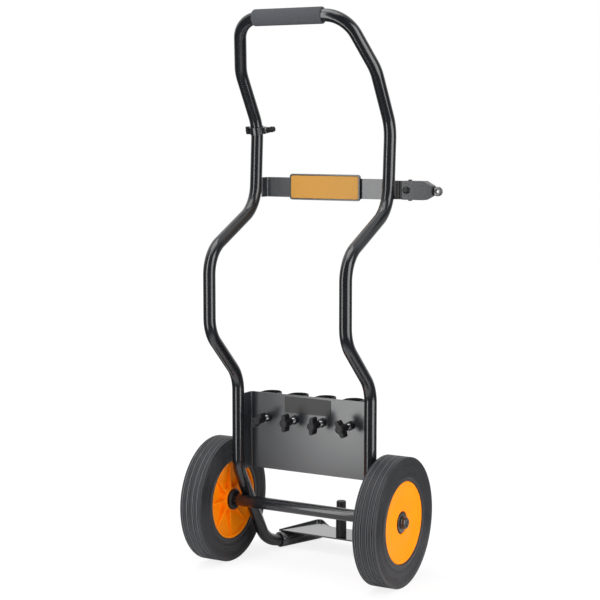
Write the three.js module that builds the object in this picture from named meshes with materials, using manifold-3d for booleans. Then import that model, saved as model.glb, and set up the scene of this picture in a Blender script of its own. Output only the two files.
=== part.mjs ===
// Wheeled hand trolley for a heavy breaker hammer, with four clamped holders for its chisels.
// Millimetres. X runs across the trolley, +Y points away from the user to the load side, +Z is up.
// The trolley stands on the ground, z = 0, on its wheels and toe. Everything is drawn with the wheel
// axle over y = 0, and last of all moved so that the middle of its footprint is the origin.

import * as THREE from 'three';
import ManifoldModule from 'manifold-3d';

const wasm = await ManifoldModule();
wasm.setup();
const { Manifold, Mesh: SolidMesh } = wasm;

// ---------------------------------------------------------------- driving dimensions

const SEAT = 0.3;                    // gap where two pieces touch
const FREE = 0.4;                    // radial clearance of a part that turns or slides

const TUBE_R = 12.5;                 // frame tube, 25 mm outside
const TUBE_WALL = 2;
const TRACK_HALF = 153;              // side tubes from the centre line
const HANDLE_HALF = TRACK_HALF - 36; // corners of the handle bar from the centre line

const AXLE_TUBE_HALF = TRACK_HALF + TUBE_R;
const HUB_PLAY = 3;                  // from the axle tube's end to the hub's flange
const HUB_FLANGE = 29.1;             // from the flange's face to the wheel's centre plane
const HUB_INNER_X = AXLE_TUBE_HALF + HUB_PLAY;
const WHEEL_RADIUS = 130;
const WHEEL_X = HUB_INNER_X + HUB_FLANGE;
const TYRE_WIDTH = 50;
const TYRE_BEAD_R = 82.3;
const TREAD_HALF = 23.5;
const TREAD_GROOVES = [-0.74, -0.28, 0.28, 0.74];  // their places, in shares of the half tread
const GROOVE_WIDTH = 3;
const GROOVE_DEPTH = 2.2;
const RIM_HALF = 23.5;
const RIM_DISC_X = 2;                // inner face of the rim's disc, from the wheel's centre plane
const HUB_R = 23;
const HUB_BORE_R = 16;
const BOSS_END = 21;                 // inner end of the rim's boss, from the centre plane
const HUB_OPEN_R = 22.5;             // opening round the hub in the rim's outer face
const BUSH_R = 22;                   // flange of the outer bearing bush
const BUSH_SEAT_X = 14.5;
const BUSH_FLANGE = 3.1;
const RIM_RIBS = 8;
const RIB_HALF = 2.2;
const WHEEL_SIDES = 28;
const HUB_SIDES = 20;
const TUBE_SIDES = 12;
const BEND_STEP = 15;                // degrees between the stations of a bend

const AXLE_TUBE_R = 12.5;
const SHAFT_R = 8;
const WASHER_R = 19.7;
const WASHER = 2;
const CAP_R = 13;
const CAP_LENGTH = 9.2;

// Corners of the side tube's route, seen from the side, each with the radius of its bend.
const HANDLE_BEND = { y: -60, z: 1117, radius: 60 };
const SHOULDER_BEND = { y: 1.1, z: 1014, radius: 100 };
const CHEST_BEND = { y: 65.6, z: 905, radius: 80 };
const WAIST_BEND = { y: 56.7, z: 742.6, radius: 75 };
const HIP_BEND = { y: -121, z: 656, radius: 70 };
const THIGH_BEND = { y: -121, z: 497, radius: 70 };
const KNEE_BEND = { z: 395, radius: 70 };
const SHIN_BEND_R = 60;
const HEEL_BEND_R = 64;
const LOWER_Y = -14.4;               // lower straight stretch of the side tubes
const LEG_SLANT = THREE.MathUtils.degToRad(31.2);
const TOE_TAPER = THREE.MathUtils.degToRad(21);  // the toe's sides close in towards its tip
const TOE_NEAR_Y = 138;
const TOE_FAR_Y = 242;
const TOE_NEAR_HALF = TRACK_HALF - 8;
const TOE_CORNER = 12;
const TOE_NOTCH_DEPTH = 26;
const TOE_NOTCH_HALF = 56;
const TOE_SHEET = 3;
const TOE_LIP = 7;
const LIP_START = 1.2;
const LIP_THICK = 2.5;
const SLEEVE_R = 16.5;
const SLEEVE_NEAR_Y = 131;
const SLEEVE_FAR_Y = 238;

const POST_R = 11.2;
const POST_TIP_R = 10.2;
const POST_Y = 152;
const POST_TOP_Z = 115;

const SHEET = 3;                     // plates of the frame
const PLATE_Y = 20;                  // front face of the tool plate
const PLATE_HALF = TRACK_HALF - 8.4; // its flanges end on the inner side of the tubes
const PLATE_FRONT_Y = LOWER_Y + 5.8;
const PLATE_CORNER = 5;
const PLATE_BOTTOM_Z = 199.5;
const PLATE_TOP_Z = 359;
const HOLDER_COUNT = 4;
const HOLDER_PITCH = 64;
const HOLDER_ROW_X = -6;             // middle of the holder row
const HOLDER_HALF = 20.5;            // half the width of a holder, and its round back's radius
const HOLDER_STRAIGHT = 13;          // from the plate to the middle of the round back
const HOLDER_WALL = 2.6;
const HOLDER_LENGTH = 150;
const HOLDER_DRAIN_R = 5;

const CLAMP_Z = 308;
const STUD_R = 4.8;
const NUT_R = 9.8;
const NUT_LENGTH = 5;
const KNOB_FACE_Y = -30;
const KNOB_HUB_R = 8.3;
const KNOB_HUB_LENGTH = 33;
const KNOB_FLOOR = 12;               // solid end of the knob, in front of the stud
const WING_REACH = 18;
const WING_DEPTH = 21;
const WING_THICK = 8;
const PAD_LENGTH = 4;
const PAD_GAP = 1;                   // from the plate's back to the pad at rest
const KNOB_ANGLES = [35, -1, 2, -26];  // how each knob happens to stand, degrees

const LABEL = { x: -7, z: 341, width: 104, height: 28, thick: 0.8 };

const STRAP_Y = 80;                  // front face of the cross strap
const STRAP_BOTTOM_Z = 760.5;
const STRAP_TOP_Z = 801;
const BADGE = { width: 162, height: 53, thick: 6, border: 3.2, corner: 6, z: 782.4 };

const HINGE_X = TRACK_HALF + 44;
const HINGE_Y = 66;
const ARM_Z = 781;
const ARM_HEIGHT = 37;
const ARM_FULL_X = HINGE_X + 33;     // where the arm begins to taper
const ARM_TIP_X = HINGE_X + 52.5;
const ARM_TIP_HEIGHT = 18;
const ARM_DEPTH = 25;
const PIN_R = 4;
const KNUCKLE_R = 9;
const EYE_R = 9.2;
const EYE_Y = HINGE_Y - 7;

const CLIP_Z = 897.5;
const CLIP_HEIGHT = 15.5;
const CLIP_WALL = 2;
const PEG_TILT = THREE.MathUtils.degToRad(8);

const GRIP_R = 16.5;
const GRIP_X = [-83, 70];

// ---------------------------------------------------------------- materials

const paint = (color, roughness, metalness) => ({ color, roughness, metalness });
const GLOSS_BLACK = paint(0x16181b, 0.28, 0.1);
const SATIN_GREY = paint(0x4c4f54, 0.5, 0.1);
const TOE_BLACK = paint(0x26282b, 0.4, 0.1);
const ORANGE = paint(0xff9600, 0.42, 0.0);
const RUBBER = paint(0x37393c, 0.85, 0.0);
const PLASTIC = paint(0x121315, 0.5, 0.0);
const FOAM = paint(0x4b4d52, 0.9, 0.0);
const ZINC = paint(0xc4c6c8, 0.3, 0.9);
const LABEL_GREY = paint(0x55565a, 0.55, 0.0);

// ---------------------------------------------------------------- solids

function toSolid(geometry) {
  const flat = geometry.index ? geometry.toNonIndexed() : geometry;
  const position = flat.attributes.position;
  const mesh = new SolidMesh({
    numProp: 3,
    vertProperties: new Float32Array(position.array),
    triVerts: Uint32Array.from({ length: position.count }, (_, i) => i),
  });
  mesh.merge();
  return new Manifold(mesh);
}

function toGeometry(solid) {
  const mesh = solid.getMesh();
  const geometry = new THREE.BufferGeometry();
  const points = new Float32Array(mesh.numVert * 3);
  for (let i = 0; i < mesh.numVert; i += 1) {
    for (let k = 0; k < 3; k += 1) points[i * 3 + k] = mesh.vertProperties[i * mesh.numProp + k];
  }
  geometry.setAttribute('position', new THREE.BufferAttribute(points, 3));
  geometry.setIndex(new THREE.BufferAttribute(new Uint32Array(mesh.triVerts), 1));
  geometry.computeVertexNormals();
  return geometry;
}

const block = (x0, x1, y0, y1, z0, z1) => {
  const box = new THREE.BoxGeometry(x1 - x0, y1 - y0, z1 - z0);
  box.translate((x0 + x1) / 2, (y0 + y1) / 2, (z0 + z1) / 2);
  return toSolid(box);
};

// A round bar along Z from z0 to z1.
const bar = (radius, z0, z1, sides = 24, topRadius = radius) => {
  const cylinder = new THREE.CylinderGeometry(topRadius, radius, z1 - z0, sides);
  cylinder.rotateX(Math.PI / 2);
  cylinder.translate(0, 0, (z0 + z1) / 2);
  return toSolid(cylinder);
};
const barX = (radius, x0, x1, sides = 24) => bar(radius, x0, x1, sides).rotate([0, 90, 0]);
const barY = (radius, y0, y1, sides = 24) => bar(radius, -y1, -y0, sides).rotate([90, 0, 0]);

// An outline in X and Z, pushed from y0 to y1.
const slab = (shape, y0, y1, segments = 6) => {
  const push = new THREE.ExtrudeGeometry(shape, {
    depth: y1 - y0, bevelEnabled: false, curveSegments: segments,
  });
  push.rotateX(Math.PI / 2);
  push.translate(0, y1, 0);
  return toSolid(push);
};

// An outline in X and Y, pushed up from z0 to z1.
const sheet = (shape, z0, z1, segments = 6) => {
  const push = new THREE.ExtrudeGeometry(shape, {
    depth: z1 - z0, bevelEnabled: false, curveSegments: segments,
  });
  push.translate(0, 0, z0);
  return toSolid(push);
};

// A profile of [radius, x] points turned about the X axis.
const turnedX = (profile, sides) => {
  const lathe = new THREE.LatheGeometry(profile.map(([r, x]) => new THREE.Vector2(r, x)), sides);
  lathe.rotateZ(-Math.PI / 2);
  return toSolid(lathe);
};

function roundedRectangle(width, height, radius) {
  const shape = new THREE.Shape();
  const w = width / 2 - radius;
  const h = height / 2 - radius;
  shape.absarc(w, h, radius, 0, Math.PI / 2, false);
  shape.absarc(-w, h, radius, Math.PI / 2, Math.PI, false);
  shape.absarc(-w, -h, radius, Math.PI, 1.5 * Math.PI, false);
  shape.absarc(w, -h, radius, 1.5 * Math.PI, 2 * Math.PI, false);
  shape.closePath();
  return shape;
}

// ---------------------------------------------------------------- bent tube

// Stations along a polyline whose corners are rounded, each a point and the direction there.
function bentPath(corners, bendStep) {
  const stations = [];
  const first = corners[0].point;
  stations.push({ at: first, along: corners[1].point.clone().sub(first).normalize() });
  for (let i = 1; i < corners.length - 1; i += 1) {
    const { point, radius } = corners[i];
    const into = point.clone().sub(corners[i - 1].point).normalize();
    const out = corners[i + 1].point.clone().sub(point).normalize();
    const turn = into.angleTo(out);
    const tangent = radius * Math.tan(turn / 2);
    const start = point.clone().addScaledVector(into, -tangent);
    const inward = out.clone().addScaledVector(into, -Math.cos(turn)).normalize();
    const centre = start.clone().addScaledVector(inward, radius);
    const steps = Math.max(2, Math.ceil(turn / bendStep));
    for (let k = 0; k <= steps; k += 1) {
      const angle = (turn * k) / steps;
      stations.push({
        at: centre.clone()
          .addScaledVector(inward, -radius * Math.cos(angle))
          .addScaledVector(into, radius * Math.sin(angle)),
        along: into.clone().multiplyScalar(Math.cos(angle)).addScaledVector(inward, Math.sin(angle)),
      });
    }
  }
  const last = corners[corners.length - 1].point;
  const before = corners[corners.length - 2].point;
  stations.push({ at: last, along: last.clone().sub(before).normalize() });
  return stations;
}

// A solid round bar swept through the stations.
function sweptBar(stations, radius, sides) {
  const points = [];
  const faces = [];
  let side = new THREE.Vector3(0, 1, 0);
  stations.forEach(({ at, along }, i) => {
    side = side.clone().addScaledVector(along, -side.dot(along)).normalize();
    const up = new THREE.Vector3().crossVectors(along, side);
    for (let k = 0; k < sides; k += 1) {
      const angle = (2 * Math.PI * k) / sides;
      const p = at.clone()
        .addScaledVector(side, radius * Math.cos(angle))
        .addScaledVector(up, radius * Math.sin(angle));
      points.push(p.x, p.y, p.z);
      if (i > 0) {
        const here = i * sides + k;
        const next = i * sides + ((k + 1) % sides);
        faces.push(here - sides, next - sides, here, next - sides, next, here);
      }
    }
  });
  const last = (stations.length - 1) * sides;
  for (let k = 1; k < sides - 1; k += 1) {
    faces.push(0, k + 1, k);
    faces.push(last, last + k, last + k + 1);
  }
  const geometry = new THREE.BufferGeometry();
  geometry.setAttribute('position', new THREE.Float32BufferAttribute(points, 3));
  geometry.setIndex(faces);
  return toSolid(geometry);
}

// ---------------------------------------------------------------- scene graph

const trolley = new THREE.Group();
const wheels = new THREE.Group();
const frame = new THREE.Group();
trolley.add(wheels, frame);

function place(parent, name, solid, finish, move = null) {
  const material = new THREE.MeshStandardMaterial(finish);
  const mesh = new THREE.Mesh(toGeometry(solid), material);
  mesh.name = name;
  if (move) mesh.position.set(...move);
  parent.add(mesh);
  return mesh;
}

// ---------------------------------------------------------------- side tubes

// The slanted leg passes the axle tube with a welding gap between them.
const legOffset = AXLE_TUBE_R + TUBE_R + SEAT;
const legPoint = (y) => new THREE.Vector2(
  y,
  WHEEL_RADIUS + (legOffset - y * Math.cos(LEG_SLANT)) / Math.sin(LEG_SLANT),
);
const legTop = legPoint(LOWER_Y);
const heelY = (legOffset + (WHEEL_RADIUS - SLEEVE_R) * Math.sin(LEG_SLANT)) / Math.cos(LEG_SLANT);
// The toe's tubes rest in sleeves on the ground, closing in from the heels.
const toeX = (y) => TRACK_HALF - (y - heelY) * Math.tan(TOE_TAPER);
const TUBE_END_Y = SLEEVE_FAR_Y - 8;

const SIDE_CORNERS = [
  { ...HANDLE_BEND, x: 0, radius: 0 },
  { ...HANDLE_BEND, x: HANDLE_HALF },
  SHOULDER_BEND,
  CHEST_BEND,
  WAIST_BEND,
  HIP_BEND,
  THIGH_BEND,
  { ...KNEE_BEND, y: LOWER_Y },
  { y: legTop.x, z: legTop.y, radius: SHIN_BEND_R },
  { y: heelY, z: SLEEVE_R, radius: HEEL_BEND_R },
  { y: TUBE_END_Y, z: SLEEVE_R, x: toeX(TUBE_END_Y), radius: 0 },
];

// The path of one side tube; past > 0 runs it on beyond both ends.
function sidePath(sign, bendStep = BEND_STEP, past = 0) {
  const corners = SIDE_CORNERS.map(({ x = TRACK_HALF, y, z, radius }) => ({
    point: new THREE.Vector3(sign * x, y, z), radius,
  }));
  const end = corners[corners.length - 1].point;
  const before = corners[corners.length - 2].point;
  end.addScaledVector(end.clone().sub(before).normalize(), past);
  corners[0].point.x = sign * (SEAT / 2 - past);
  return bentPath(corners, THREE.MathUtils.degToRad(bendStep));
}

for (const [side, sign] of [['left', -1], ['right', 1]]) {
  const bore = sweptBar(sidePath(sign, 1.5 * BEND_STEP, 2), TUBE_R - TUBE_WALL, TUBE_SIDES / 2);
  const tube = sweptBar(sidePath(sign), TUBE_R, TUBE_SIDES).subtract(bore);
  place(frame, `side_tube_${side}`, tube, GLOSS_BLACK);
}

// What seats on a side tube is cut by the tube's own path, one seat gap larger.
const tubeSeat = (sign) => sweptBar(sidePath(sign, BEND_STEP, 5), TUBE_R + SEAT, TUBE_SIDES);

// ---------------------------------------------------------------- grip

place(frame, 'handle_grip', barX(GRIP_R, ...GRIP_X, 20)
  .translate([0, HANDLE_BEND.y, HANDLE_BEND.z])
  .subtract(tubeSeat(-1))
  .subtract(tubeSeat(1)), FOAM);

// ---------------------------------------------------------------- axle and wheels

const HUB_OUTER_X = WHEEL_X + BUSH_SEAT_X + SEAT + BUSH_FLANGE;
const WASHER_X = HUB_OUTER_X + SEAT;
const CAP_X = WASHER_X + WASHER + SEAT;
const SHAFT_HALF = CAP_X + CAP_LENGTH - 4;
const atAxle = [0, 0, WHEEL_RADIUS];

place(wheels, 'axle_tube', barX(AXLE_TUBE_R, -AXLE_TUBE_HALF, AXLE_TUBE_HALF, 24)
  .subtract(barX(SHAFT_R + SEAT, -AXLE_TUBE_HALF - 1, AXLE_TUBE_HALF + 1, 16)), GLOSS_BLACK, atAxle);
place(wheels, 'axle_shaft', barX(SHAFT_R, -SHAFT_HALF, SHAFT_HALF, 16), ZINC, atAxle);

// Tyre section about the wheel's centre plane: bead ring, sidewall, square tread with its grooves.
function tyreProfile() {
  const half = TYRE_WIDTH / 2;
  const grooves = TREAD_GROOVES.flatMap((share) => {
    const middle = share * TREAD_HALF;
    return [
      [WHEEL_RADIUS, middle - GROOVE_WIDTH / 2],
      [WHEEL_RADIUS - GROOVE_DEPTH, middle],
      [WHEEL_RADIUS, middle + GROOVE_WIDTH / 2],
    ];
  });
  const wall = [
    [TYRE_BEAD_R, half - 2.5], [TYRE_BEAD_R + 2, half], [TYRE_BEAD_R + 5, half - 0.2],
    [TYRE_BEAD_R + 6.5, half - 1], [WHEEL_RADIUS - 3.5, half], [WHEEL_RADIUS, TREAD_HALF],
  ];
  const left = wall.map(([r, x]) => [r, -x]);
  const right = wall.slice().reverse();
  const loop = [...left, ...grooves, ...right];
  return [...loop, loop[0]];
}

// Rim section: seat for the tyre, disc with a dished outer face, hub boss, recess for the bush.
function rimProfile() {
  const seatR = TYRE_BEAD_R - SEAT;
  const loop = [
    [HUB_BORE_R, -BOSS_END], [HUB_R, -BOSS_END], [HUB_R + 3, RIM_DISC_X], [TYRE_BEAD_R - 6, RIM_DISC_X],
    [TYRE_BEAD_R - 4.5, -RIM_HALF], [seatR, -RIM_HALF],
    [seatR, RIM_HALF - 1.5], [seatR - 1.5, RIM_HALF], [TYRE_BEAD_R - 8, RIM_HALF - 0.5],
    [TYRE_BEAD_R - 30, RIM_HALF - 5.5], [HUB_R + 3, RIM_HALF - 3.5], [HUB_OPEN_R, RIM_HALF - 4.5],
    [HUB_OPEN_R, BUSH_SEAT_X], [HUB_BORE_R, BUSH_SEAT_X],
  ];
  return [...loop, loop[0]];
}

function rimSolid() {
  const rib = slab(new THREE.Shape([
    [HUB_R - 1, 4 - BOSS_END], [TYRE_BEAD_R - 4, 4 - RIM_HALF],
    [TYRE_BEAD_R - 4, RIM_DISC_X + 1], [HUB_R - 1, RIM_DISC_X + 1],
  ].map(([r, x]) => new THREE.Vector2(r, x))), -RIB_HALF, RIB_HALF);
  // The slab's X is the radius and its Z is the wheel's axis: each rib is stood along the axle.
  const ribs = Array.from({ length: RIM_RIBS },
    (_, i) => rib.rotate([0, 0, (360 * i) / RIM_RIBS]).rotate([0, 90, 0]));
  return Manifold.union([turnedX(rimProfile(), WHEEL_SIDES), ...ribs]);
}

const SLEEVE_BORE = SHAFT_R + FREE;
for (const [side, sign] of [['left', -1], ['right', 1]]) {
  const outward = sign > 0 ? [0, 0, 0] : [0, 0, 180];
  const at = [sign * WHEEL_X, 0, WHEEL_RADIUS];
  const turn = (solid) => solid.rotate(outward);
  place(wheels, `tyre_${side}`, turn(turnedX(tyreProfile(), WHEEL_SIDES)), RUBBER, at);
  place(wheels, `rim_${side}`, turn(rimSolid()), ORANGE, at);
  // The wheel turns on a flanged sleeve from the inner side and a flanged bush from the outer side.
  const bore = barX(SLEEVE_BORE, -60, 60, 14);
  const flangeX = HUB_INNER_X - WHEEL_X;
  const tubeR = HUB_BORE_R - SEAT;
  const sleeve = Manifold.union([
    barX(HUB_R - 1, flangeX, -BOSS_END - SEAT, HUB_SIDES),
    barX(tubeR, flangeX + 1, -SEAT / 2, HUB_SIDES),
  ]).subtract(bore);
  place(wheels, `hub_sleeve_${side}`, turn(sleeve), PLASTIC, at);
  const bush = Manifold.union([
    barX(BUSH_R, BUSH_SEAT_X + SEAT, HUB_OUTER_X - WHEEL_X, HUB_SIDES),
    barX(tubeR, SEAT / 2, BUSH_SEAT_X + SEAT + 1, HUB_SIDES),
  ]).subtract(bore);
  place(wheels, `hub_bush_${side}`, turn(bush), PLASTIC, at);
  // Washer and pressed cap at the end of the shaft.
  const washer = barX(WASHER_R, 0, WASHER, 24).subtract(barX(SHAFT_R + SEAT, -1, WASHER + 1, 16));
  place(wheels, `axle_washer_${side}`, turn(washer.translate([WASHER_X, 0, 0])), ZINC, atAxle);
  const cap = Manifold.union([
    barX(CAP_R, 0, CAP_LENGTH - 2, HUB_SIDES),
    turnedX([[0, 0], [CAP_R, 0], [CAP_R - 2.5, 2], [0, 2]], HUB_SIDES).translate([CAP_LENGTH - 2, 0, 0]),
  ]).subtract(barX(SHAFT_R + SEAT, -1, CAP_LENGTH - 4 + SEAT, 16));
  place(wheels, `axle_cap_${side}`, turn(cap.translate([CAP_X, 0, 0])), PLASTIC, atAxle);
}

// ---------------------------------------------------------------- toe

// Outline of the toe plate, its edges drawn in by the inset: slanted sides, round far corners and a
// shallow notch between them. The near edge stays open, so a rim cut by the inset has none there.
function toeOutline(inset) {
  const radius = TOE_CORNER - inset;
  const far = TOE_FAR_Y - inset;
  const near = TOE_NEAR_Y - inset;
  const notch = far - TOE_NOTCH_DEPTH;
  const side = (y) => TOE_NEAR_HALF - inset / Math.cos(TOE_TAPER)
    - (y - TOE_NEAR_Y) * Math.tan(TOE_TAPER);
  const cornerX = side(far - radius) - radius / Math.cos(TOE_TAPER);
  const shape = new THREE.Shape();
  shape.moveTo(-side(near), near);
  shape.lineTo(side(near), near);
  shape.absarc(cornerX, far - radius, radius, TOE_TAPER, Math.PI / 2, false);
  shape.bezierCurveTo(cornerX - 14, far, TOE_NOTCH_HALF + 22, notch, TOE_NOTCH_HALF, notch);
  shape.lineTo(-TOE_NOTCH_HALF, notch);
  shape.bezierCurveTo(-TOE_NOTCH_HALF - 22, notch, -cornerX + 14, far, -cornerX, far);
  shape.absarc(-cornerX, far - radius, radius, Math.PI / 2, Math.PI - TOE_TAPER, false);
  shape.closePath();
  return shape;
}

const toeUnder = 2 * SLEEVE_R + SEAT;
const toeTop = toeUnder + TOE_SHEET;

function toePlateSolid() {
  const flat = sheet(toeOutline(0), toeUnder, toeTop, 4);
  const rim = sheet(toeOutline(0), toeTop - 0.5, toeTop + TOE_LIP, 4)
    .subtract(sheet(toeOutline(LIP_THICK), toeTop - 1, toeTop + TOE_LIP + 1, 4));
  // The lip rises from the near edge to the far corners and dies out along the notch.
  const rise = Math.atan2(TOE_LIP - LIP_START, TOE_FAR_Y - TOE_NEAR_Y);
  const above = block(-400, 400, -40, 400, 0, 80)
    .rotate([THREE.MathUtils.radToDeg(rise), 0, 0]).translate([0, TOE_NEAR_Y, toeTop + LIP_START]);
  const fadeIn = TOE_NOTCH_HALF + 18;
  const fadeOut = fadeIn + 24;
  const open = slab(new THREE.Shape([
    [-fadeIn, -1], [fadeIn, -1], [fadeOut, TOE_LIP + 1], [-fadeOut, TOE_LIP + 1],
  ].map(([x, z]) => new THREE.Vector2(x, toeTop + z))), TOE_NEAR_Y, TOE_FAR_Y + 1);
  return flat.add(rim.subtract(above).subtract(open));
}
place(frame, 'toe_plate', toePlateSolid(), TOE_BLACK);

const sleeveLength = (SLEEVE_FAR_Y - SLEEVE_NEAR_Y) / Math.cos(TOE_TAPER);
for (const [side, sign] of [['left', -1], ['right', 1]]) {
  const sleeve = barY(SLEEVE_R, 0, sleeveLength, 20)
    .subtract(barY(TUBE_R + 2 * SEAT, -1, sleeveLength + 1, 14))
    .rotate([0, 0, sign * THREE.MathUtils.radToDeg(TOE_TAPER)]);
  place(frame, `toe_sleeve_${side}`, sleeve, TOE_BLACK,
    [sign * toeX(SLEEVE_NEAR_Y), SLEEVE_NEAR_Y, SLEEVE_R]);
}

// Locating post for the tool, standing on the toe plate.
place(frame, 'locating_post', Manifold.union([
  bar(POST_R, toeTop + SEAT, POST_TOP_Z - 22, 20),
  bar(POST_R, POST_TOP_Z - 22, POST_TOP_Z - 19, 20, POST_TIP_R),
  bar(POST_TIP_R, POST_TOP_Z - 19, POST_TOP_Z - 1.5, 20),
  bar(POST_TIP_R, POST_TOP_Z - 1.5, POST_TOP_Z, 20, POST_TIP_R - 1.5),
]), PLASTIC, [0, POST_Y, 0]);

// ---------------------------------------------------------------- tool plate and chisel holders

const BETWEEN = TRACK_HALF - TUBE_R - SEAT;     // half the clear width between the side tubes

// A sheet pan open to the front, w to each side: a face between two flanges that reach forward.
function pan(w, faceY, frontY, z0, z1, bend) {
  const shape = new THREE.Shape();
  const back = faceY + SHEET;
  shape.moveTo(-w, frontY);
  shape.lineTo(-w + SHEET, frontY);
  shape.lineTo(-w + SHEET, faceY - bend);
  shape.absarc(-w + SHEET + bend, faceY - bend, bend, Math.PI, Math.PI / 2, true);
  shape.lineTo(w - SHEET - bend, faceY);
  shape.absarc(w - SHEET - bend, faceY - bend, bend, Math.PI / 2, 0, true);
  shape.lineTo(w - SHEET, frontY);
  shape.lineTo(w, frontY);
  shape.lineTo(w, back - bend - SHEET);
  shape.absarc(w - bend - SHEET, back - bend - SHEET, bend + SHEET, 0, Math.PI / 2, false);
  shape.lineTo(-w + bend + SHEET, back);
  shape.absarc(-w + bend + SHEET, back - bend - SHEET, bend + SHEET, Math.PI / 2, Math.PI, false);
  shape.closePath();
  return sheet(shape, z0, z1, 3);
}

const holderX = Array.from({ length: HOLDER_COUNT },
  (_, i) => HOLDER_ROW_X + (i - (HOLDER_COUNT - 1) / 2) * HOLDER_PITCH);
const plateBack = PLATE_Y + SHEET;
const STUD_HOLE_R = STUD_R + 2 * FREE;

let toolPlate = pan(PLATE_HALF, PLATE_Y, PLATE_FRONT_Y, PLATE_BOTTOM_Z, PLATE_TOP_Z, 4);
// The flanges' front corners are rounded off, and the flanges end on the tubes.
for (const z of [PLATE_BOTTOM_Z, PLATE_TOP_Z]) {
  const inward = z === PLATE_TOP_Z ? -PLATE_CORNER : PLATE_CORNER;
  const middle = [0, PLATE_FRONT_Y + PLATE_CORNER, z + inward];
  const zs = [z, z + inward].sort((a, b) => a - b);
  const ys = [PLATE_FRONT_Y - 1, PLATE_FRONT_Y + PLATE_CORNER];
  const waste = block(-PLATE_HALF - 1, PLATE_HALF + 1, ...ys, ...zs)
    .subtract(barX(PLATE_CORNER, -PLATE_HALF - 2, PLATE_HALF + 2, 16).translate(middle));
  toolPlate = toolPlate.subtract(waste);
}
toolPlate = toolPlate.subtract(tubeSeat(-1)).subtract(tubeSeat(1));
for (const x of holderX) {
  const hole = barY(STUD_HOLE_R, PLATE_Y - 2, plateBack + 2, 10);
  toolPlate = toolPlate.subtract(hole.translate([x, 0, CLAMP_Z]));
}
place(frame, 'tool_plate', toolPlate, SATIN_GREY);

place(frame, 'rating_label', slab(roundedRectangle(LABEL.width, LABEL.height, 3), -LABEL.thick, 0, 2)
  .translate([LABEL.x, PLATE_Y - SEAT, LABEL.z]), LABEL_GREY);

const nutFront = PLATE_Y - SEAT - NUT_LENGTH;
const padY = plateBack + PAD_GAP;

// A holder is a channel with a round back, welded by its open side to the plate, with a floor.
function holderShape(half, y0) {
  const shape = new THREE.Shape();
  shape.moveTo(half, y0);
  shape.lineTo(half, HOLDER_STRAIGHT);
  shape.absarc(0, HOLDER_STRAIGHT, half, 0, Math.PI, false);
  shape.lineTo(-half, y0);
  shape.closePath();
  return shape;
}
function holderSolid() {
  const space = sheet(holderShape(HOLDER_HALF - HOLDER_WALL, -1), HOLDER_WALL, HOLDER_LENGTH + 1, 6);
  const drain = bar(HOLDER_DRAIN_R, -1, HOLDER_WALL + 1, 8).translate([0, HOLDER_STRAIGHT, 0]);
  return sheet(holderShape(HOLDER_HALF, 0), 0, HOLDER_LENGTH, 6).subtract(space).subtract(drain);
}

// Wing knob: round hub with a flat face and two wings, moulded on the stud.
function knobSolid() {
  const wing = new THREE.Shape();
  const half = WING_THICK / 2;
  wing.moveTo(-half - 1.5, 0);
  wing.lineTo(-half, WING_REACH - half);
  wing.absarc(0, WING_REACH - half, half, Math.PI, 0, true);
  wing.lineTo(half + 1.5, 0);
  wing.lineTo(half, -WING_REACH + half);
  wing.absarc(0, -WING_REACH + half, half, 0, -Math.PI, true);
  wing.closePath();
  const wings = slab(wing, 1.5, WING_DEPTH, 3);
  const hub = Manifold.union([
    barY(KNOB_HUB_R, 0, KNOB_HUB_LENGTH - 6, 12),
    bar(KNOB_HUB_R, 0, 6, 12, KNOB_HUB_R - 2).rotate([-90, 0, 0]).translate([0, KNOB_HUB_LENGTH - 6, 0]),
  ]);
  return wings.add(hub).subtract(barY(STUD_R + SEAT, KNOB_FLOOR, KNOB_HUB_LENGTH + 1, 10));
}

holderX.forEach((x, i) => {
  const n = i + 1;
  place(frame, `chisel_holder_${n}`, holderSolid(), TOE_BLACK,
    [x, plateBack + SEAT, PLATE_TOP_Z - HOLDER_LENGTH]);
  const nut = barY(NUT_R, nutFront, nutFront + NUT_LENGTH, 6)
    .subtract(barY(STUD_R + FREE, nutFront - 1, nutFront + NUT_LENGTH + 1, 10));
  place(frame, `clamp_nut_${n}`, nut, PLASTIC, [x, 0, CLAMP_Z]);
  place(frame, `clamp_knob_${n}`, knobSolid().rotate([0, KNOB_ANGLES[i], 0]), PLASTIC,
    [x, KNOB_FACE_Y, CLAMP_Z]);
  place(frame, `clamp_stud_${n}`, barY(STUD_R, KNOB_FACE_Y + KNOB_FLOOR + SEAT, padY - SEAT, 10), ZINC,
    [x, 0, CLAMP_Z]);
  place(frame, `clamp_pad_${n}`, barY(STUD_R, padY, padY + PAD_LENGTH, 10), PLASTIC, [x, 0, CLAMP_Z]);
});

// ---------------------------------------------------------------- cross strap and badge

// The strap's flanges reach forward to the side tubes' centre line.
const strapMiddle = (STRAP_BOTTOM_Z + STRAP_TOP_Z) / 2;
const strapTubeY = WAIST_BEND.y + (CHEST_BEND.y - WAIST_BEND.y)
  * ((strapMiddle - WAIST_BEND.z) / (CHEST_BEND.z - WAIST_BEND.z));
place(frame, 'cross_strap', pan(BETWEEN, STRAP_Y, strapTubeY, STRAP_BOTTOM_Z, STRAP_TOP_Z, 4)
  .subtract(tubeSeat(-1)).subtract(tubeSeat(1)), SATIN_GREY);

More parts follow.
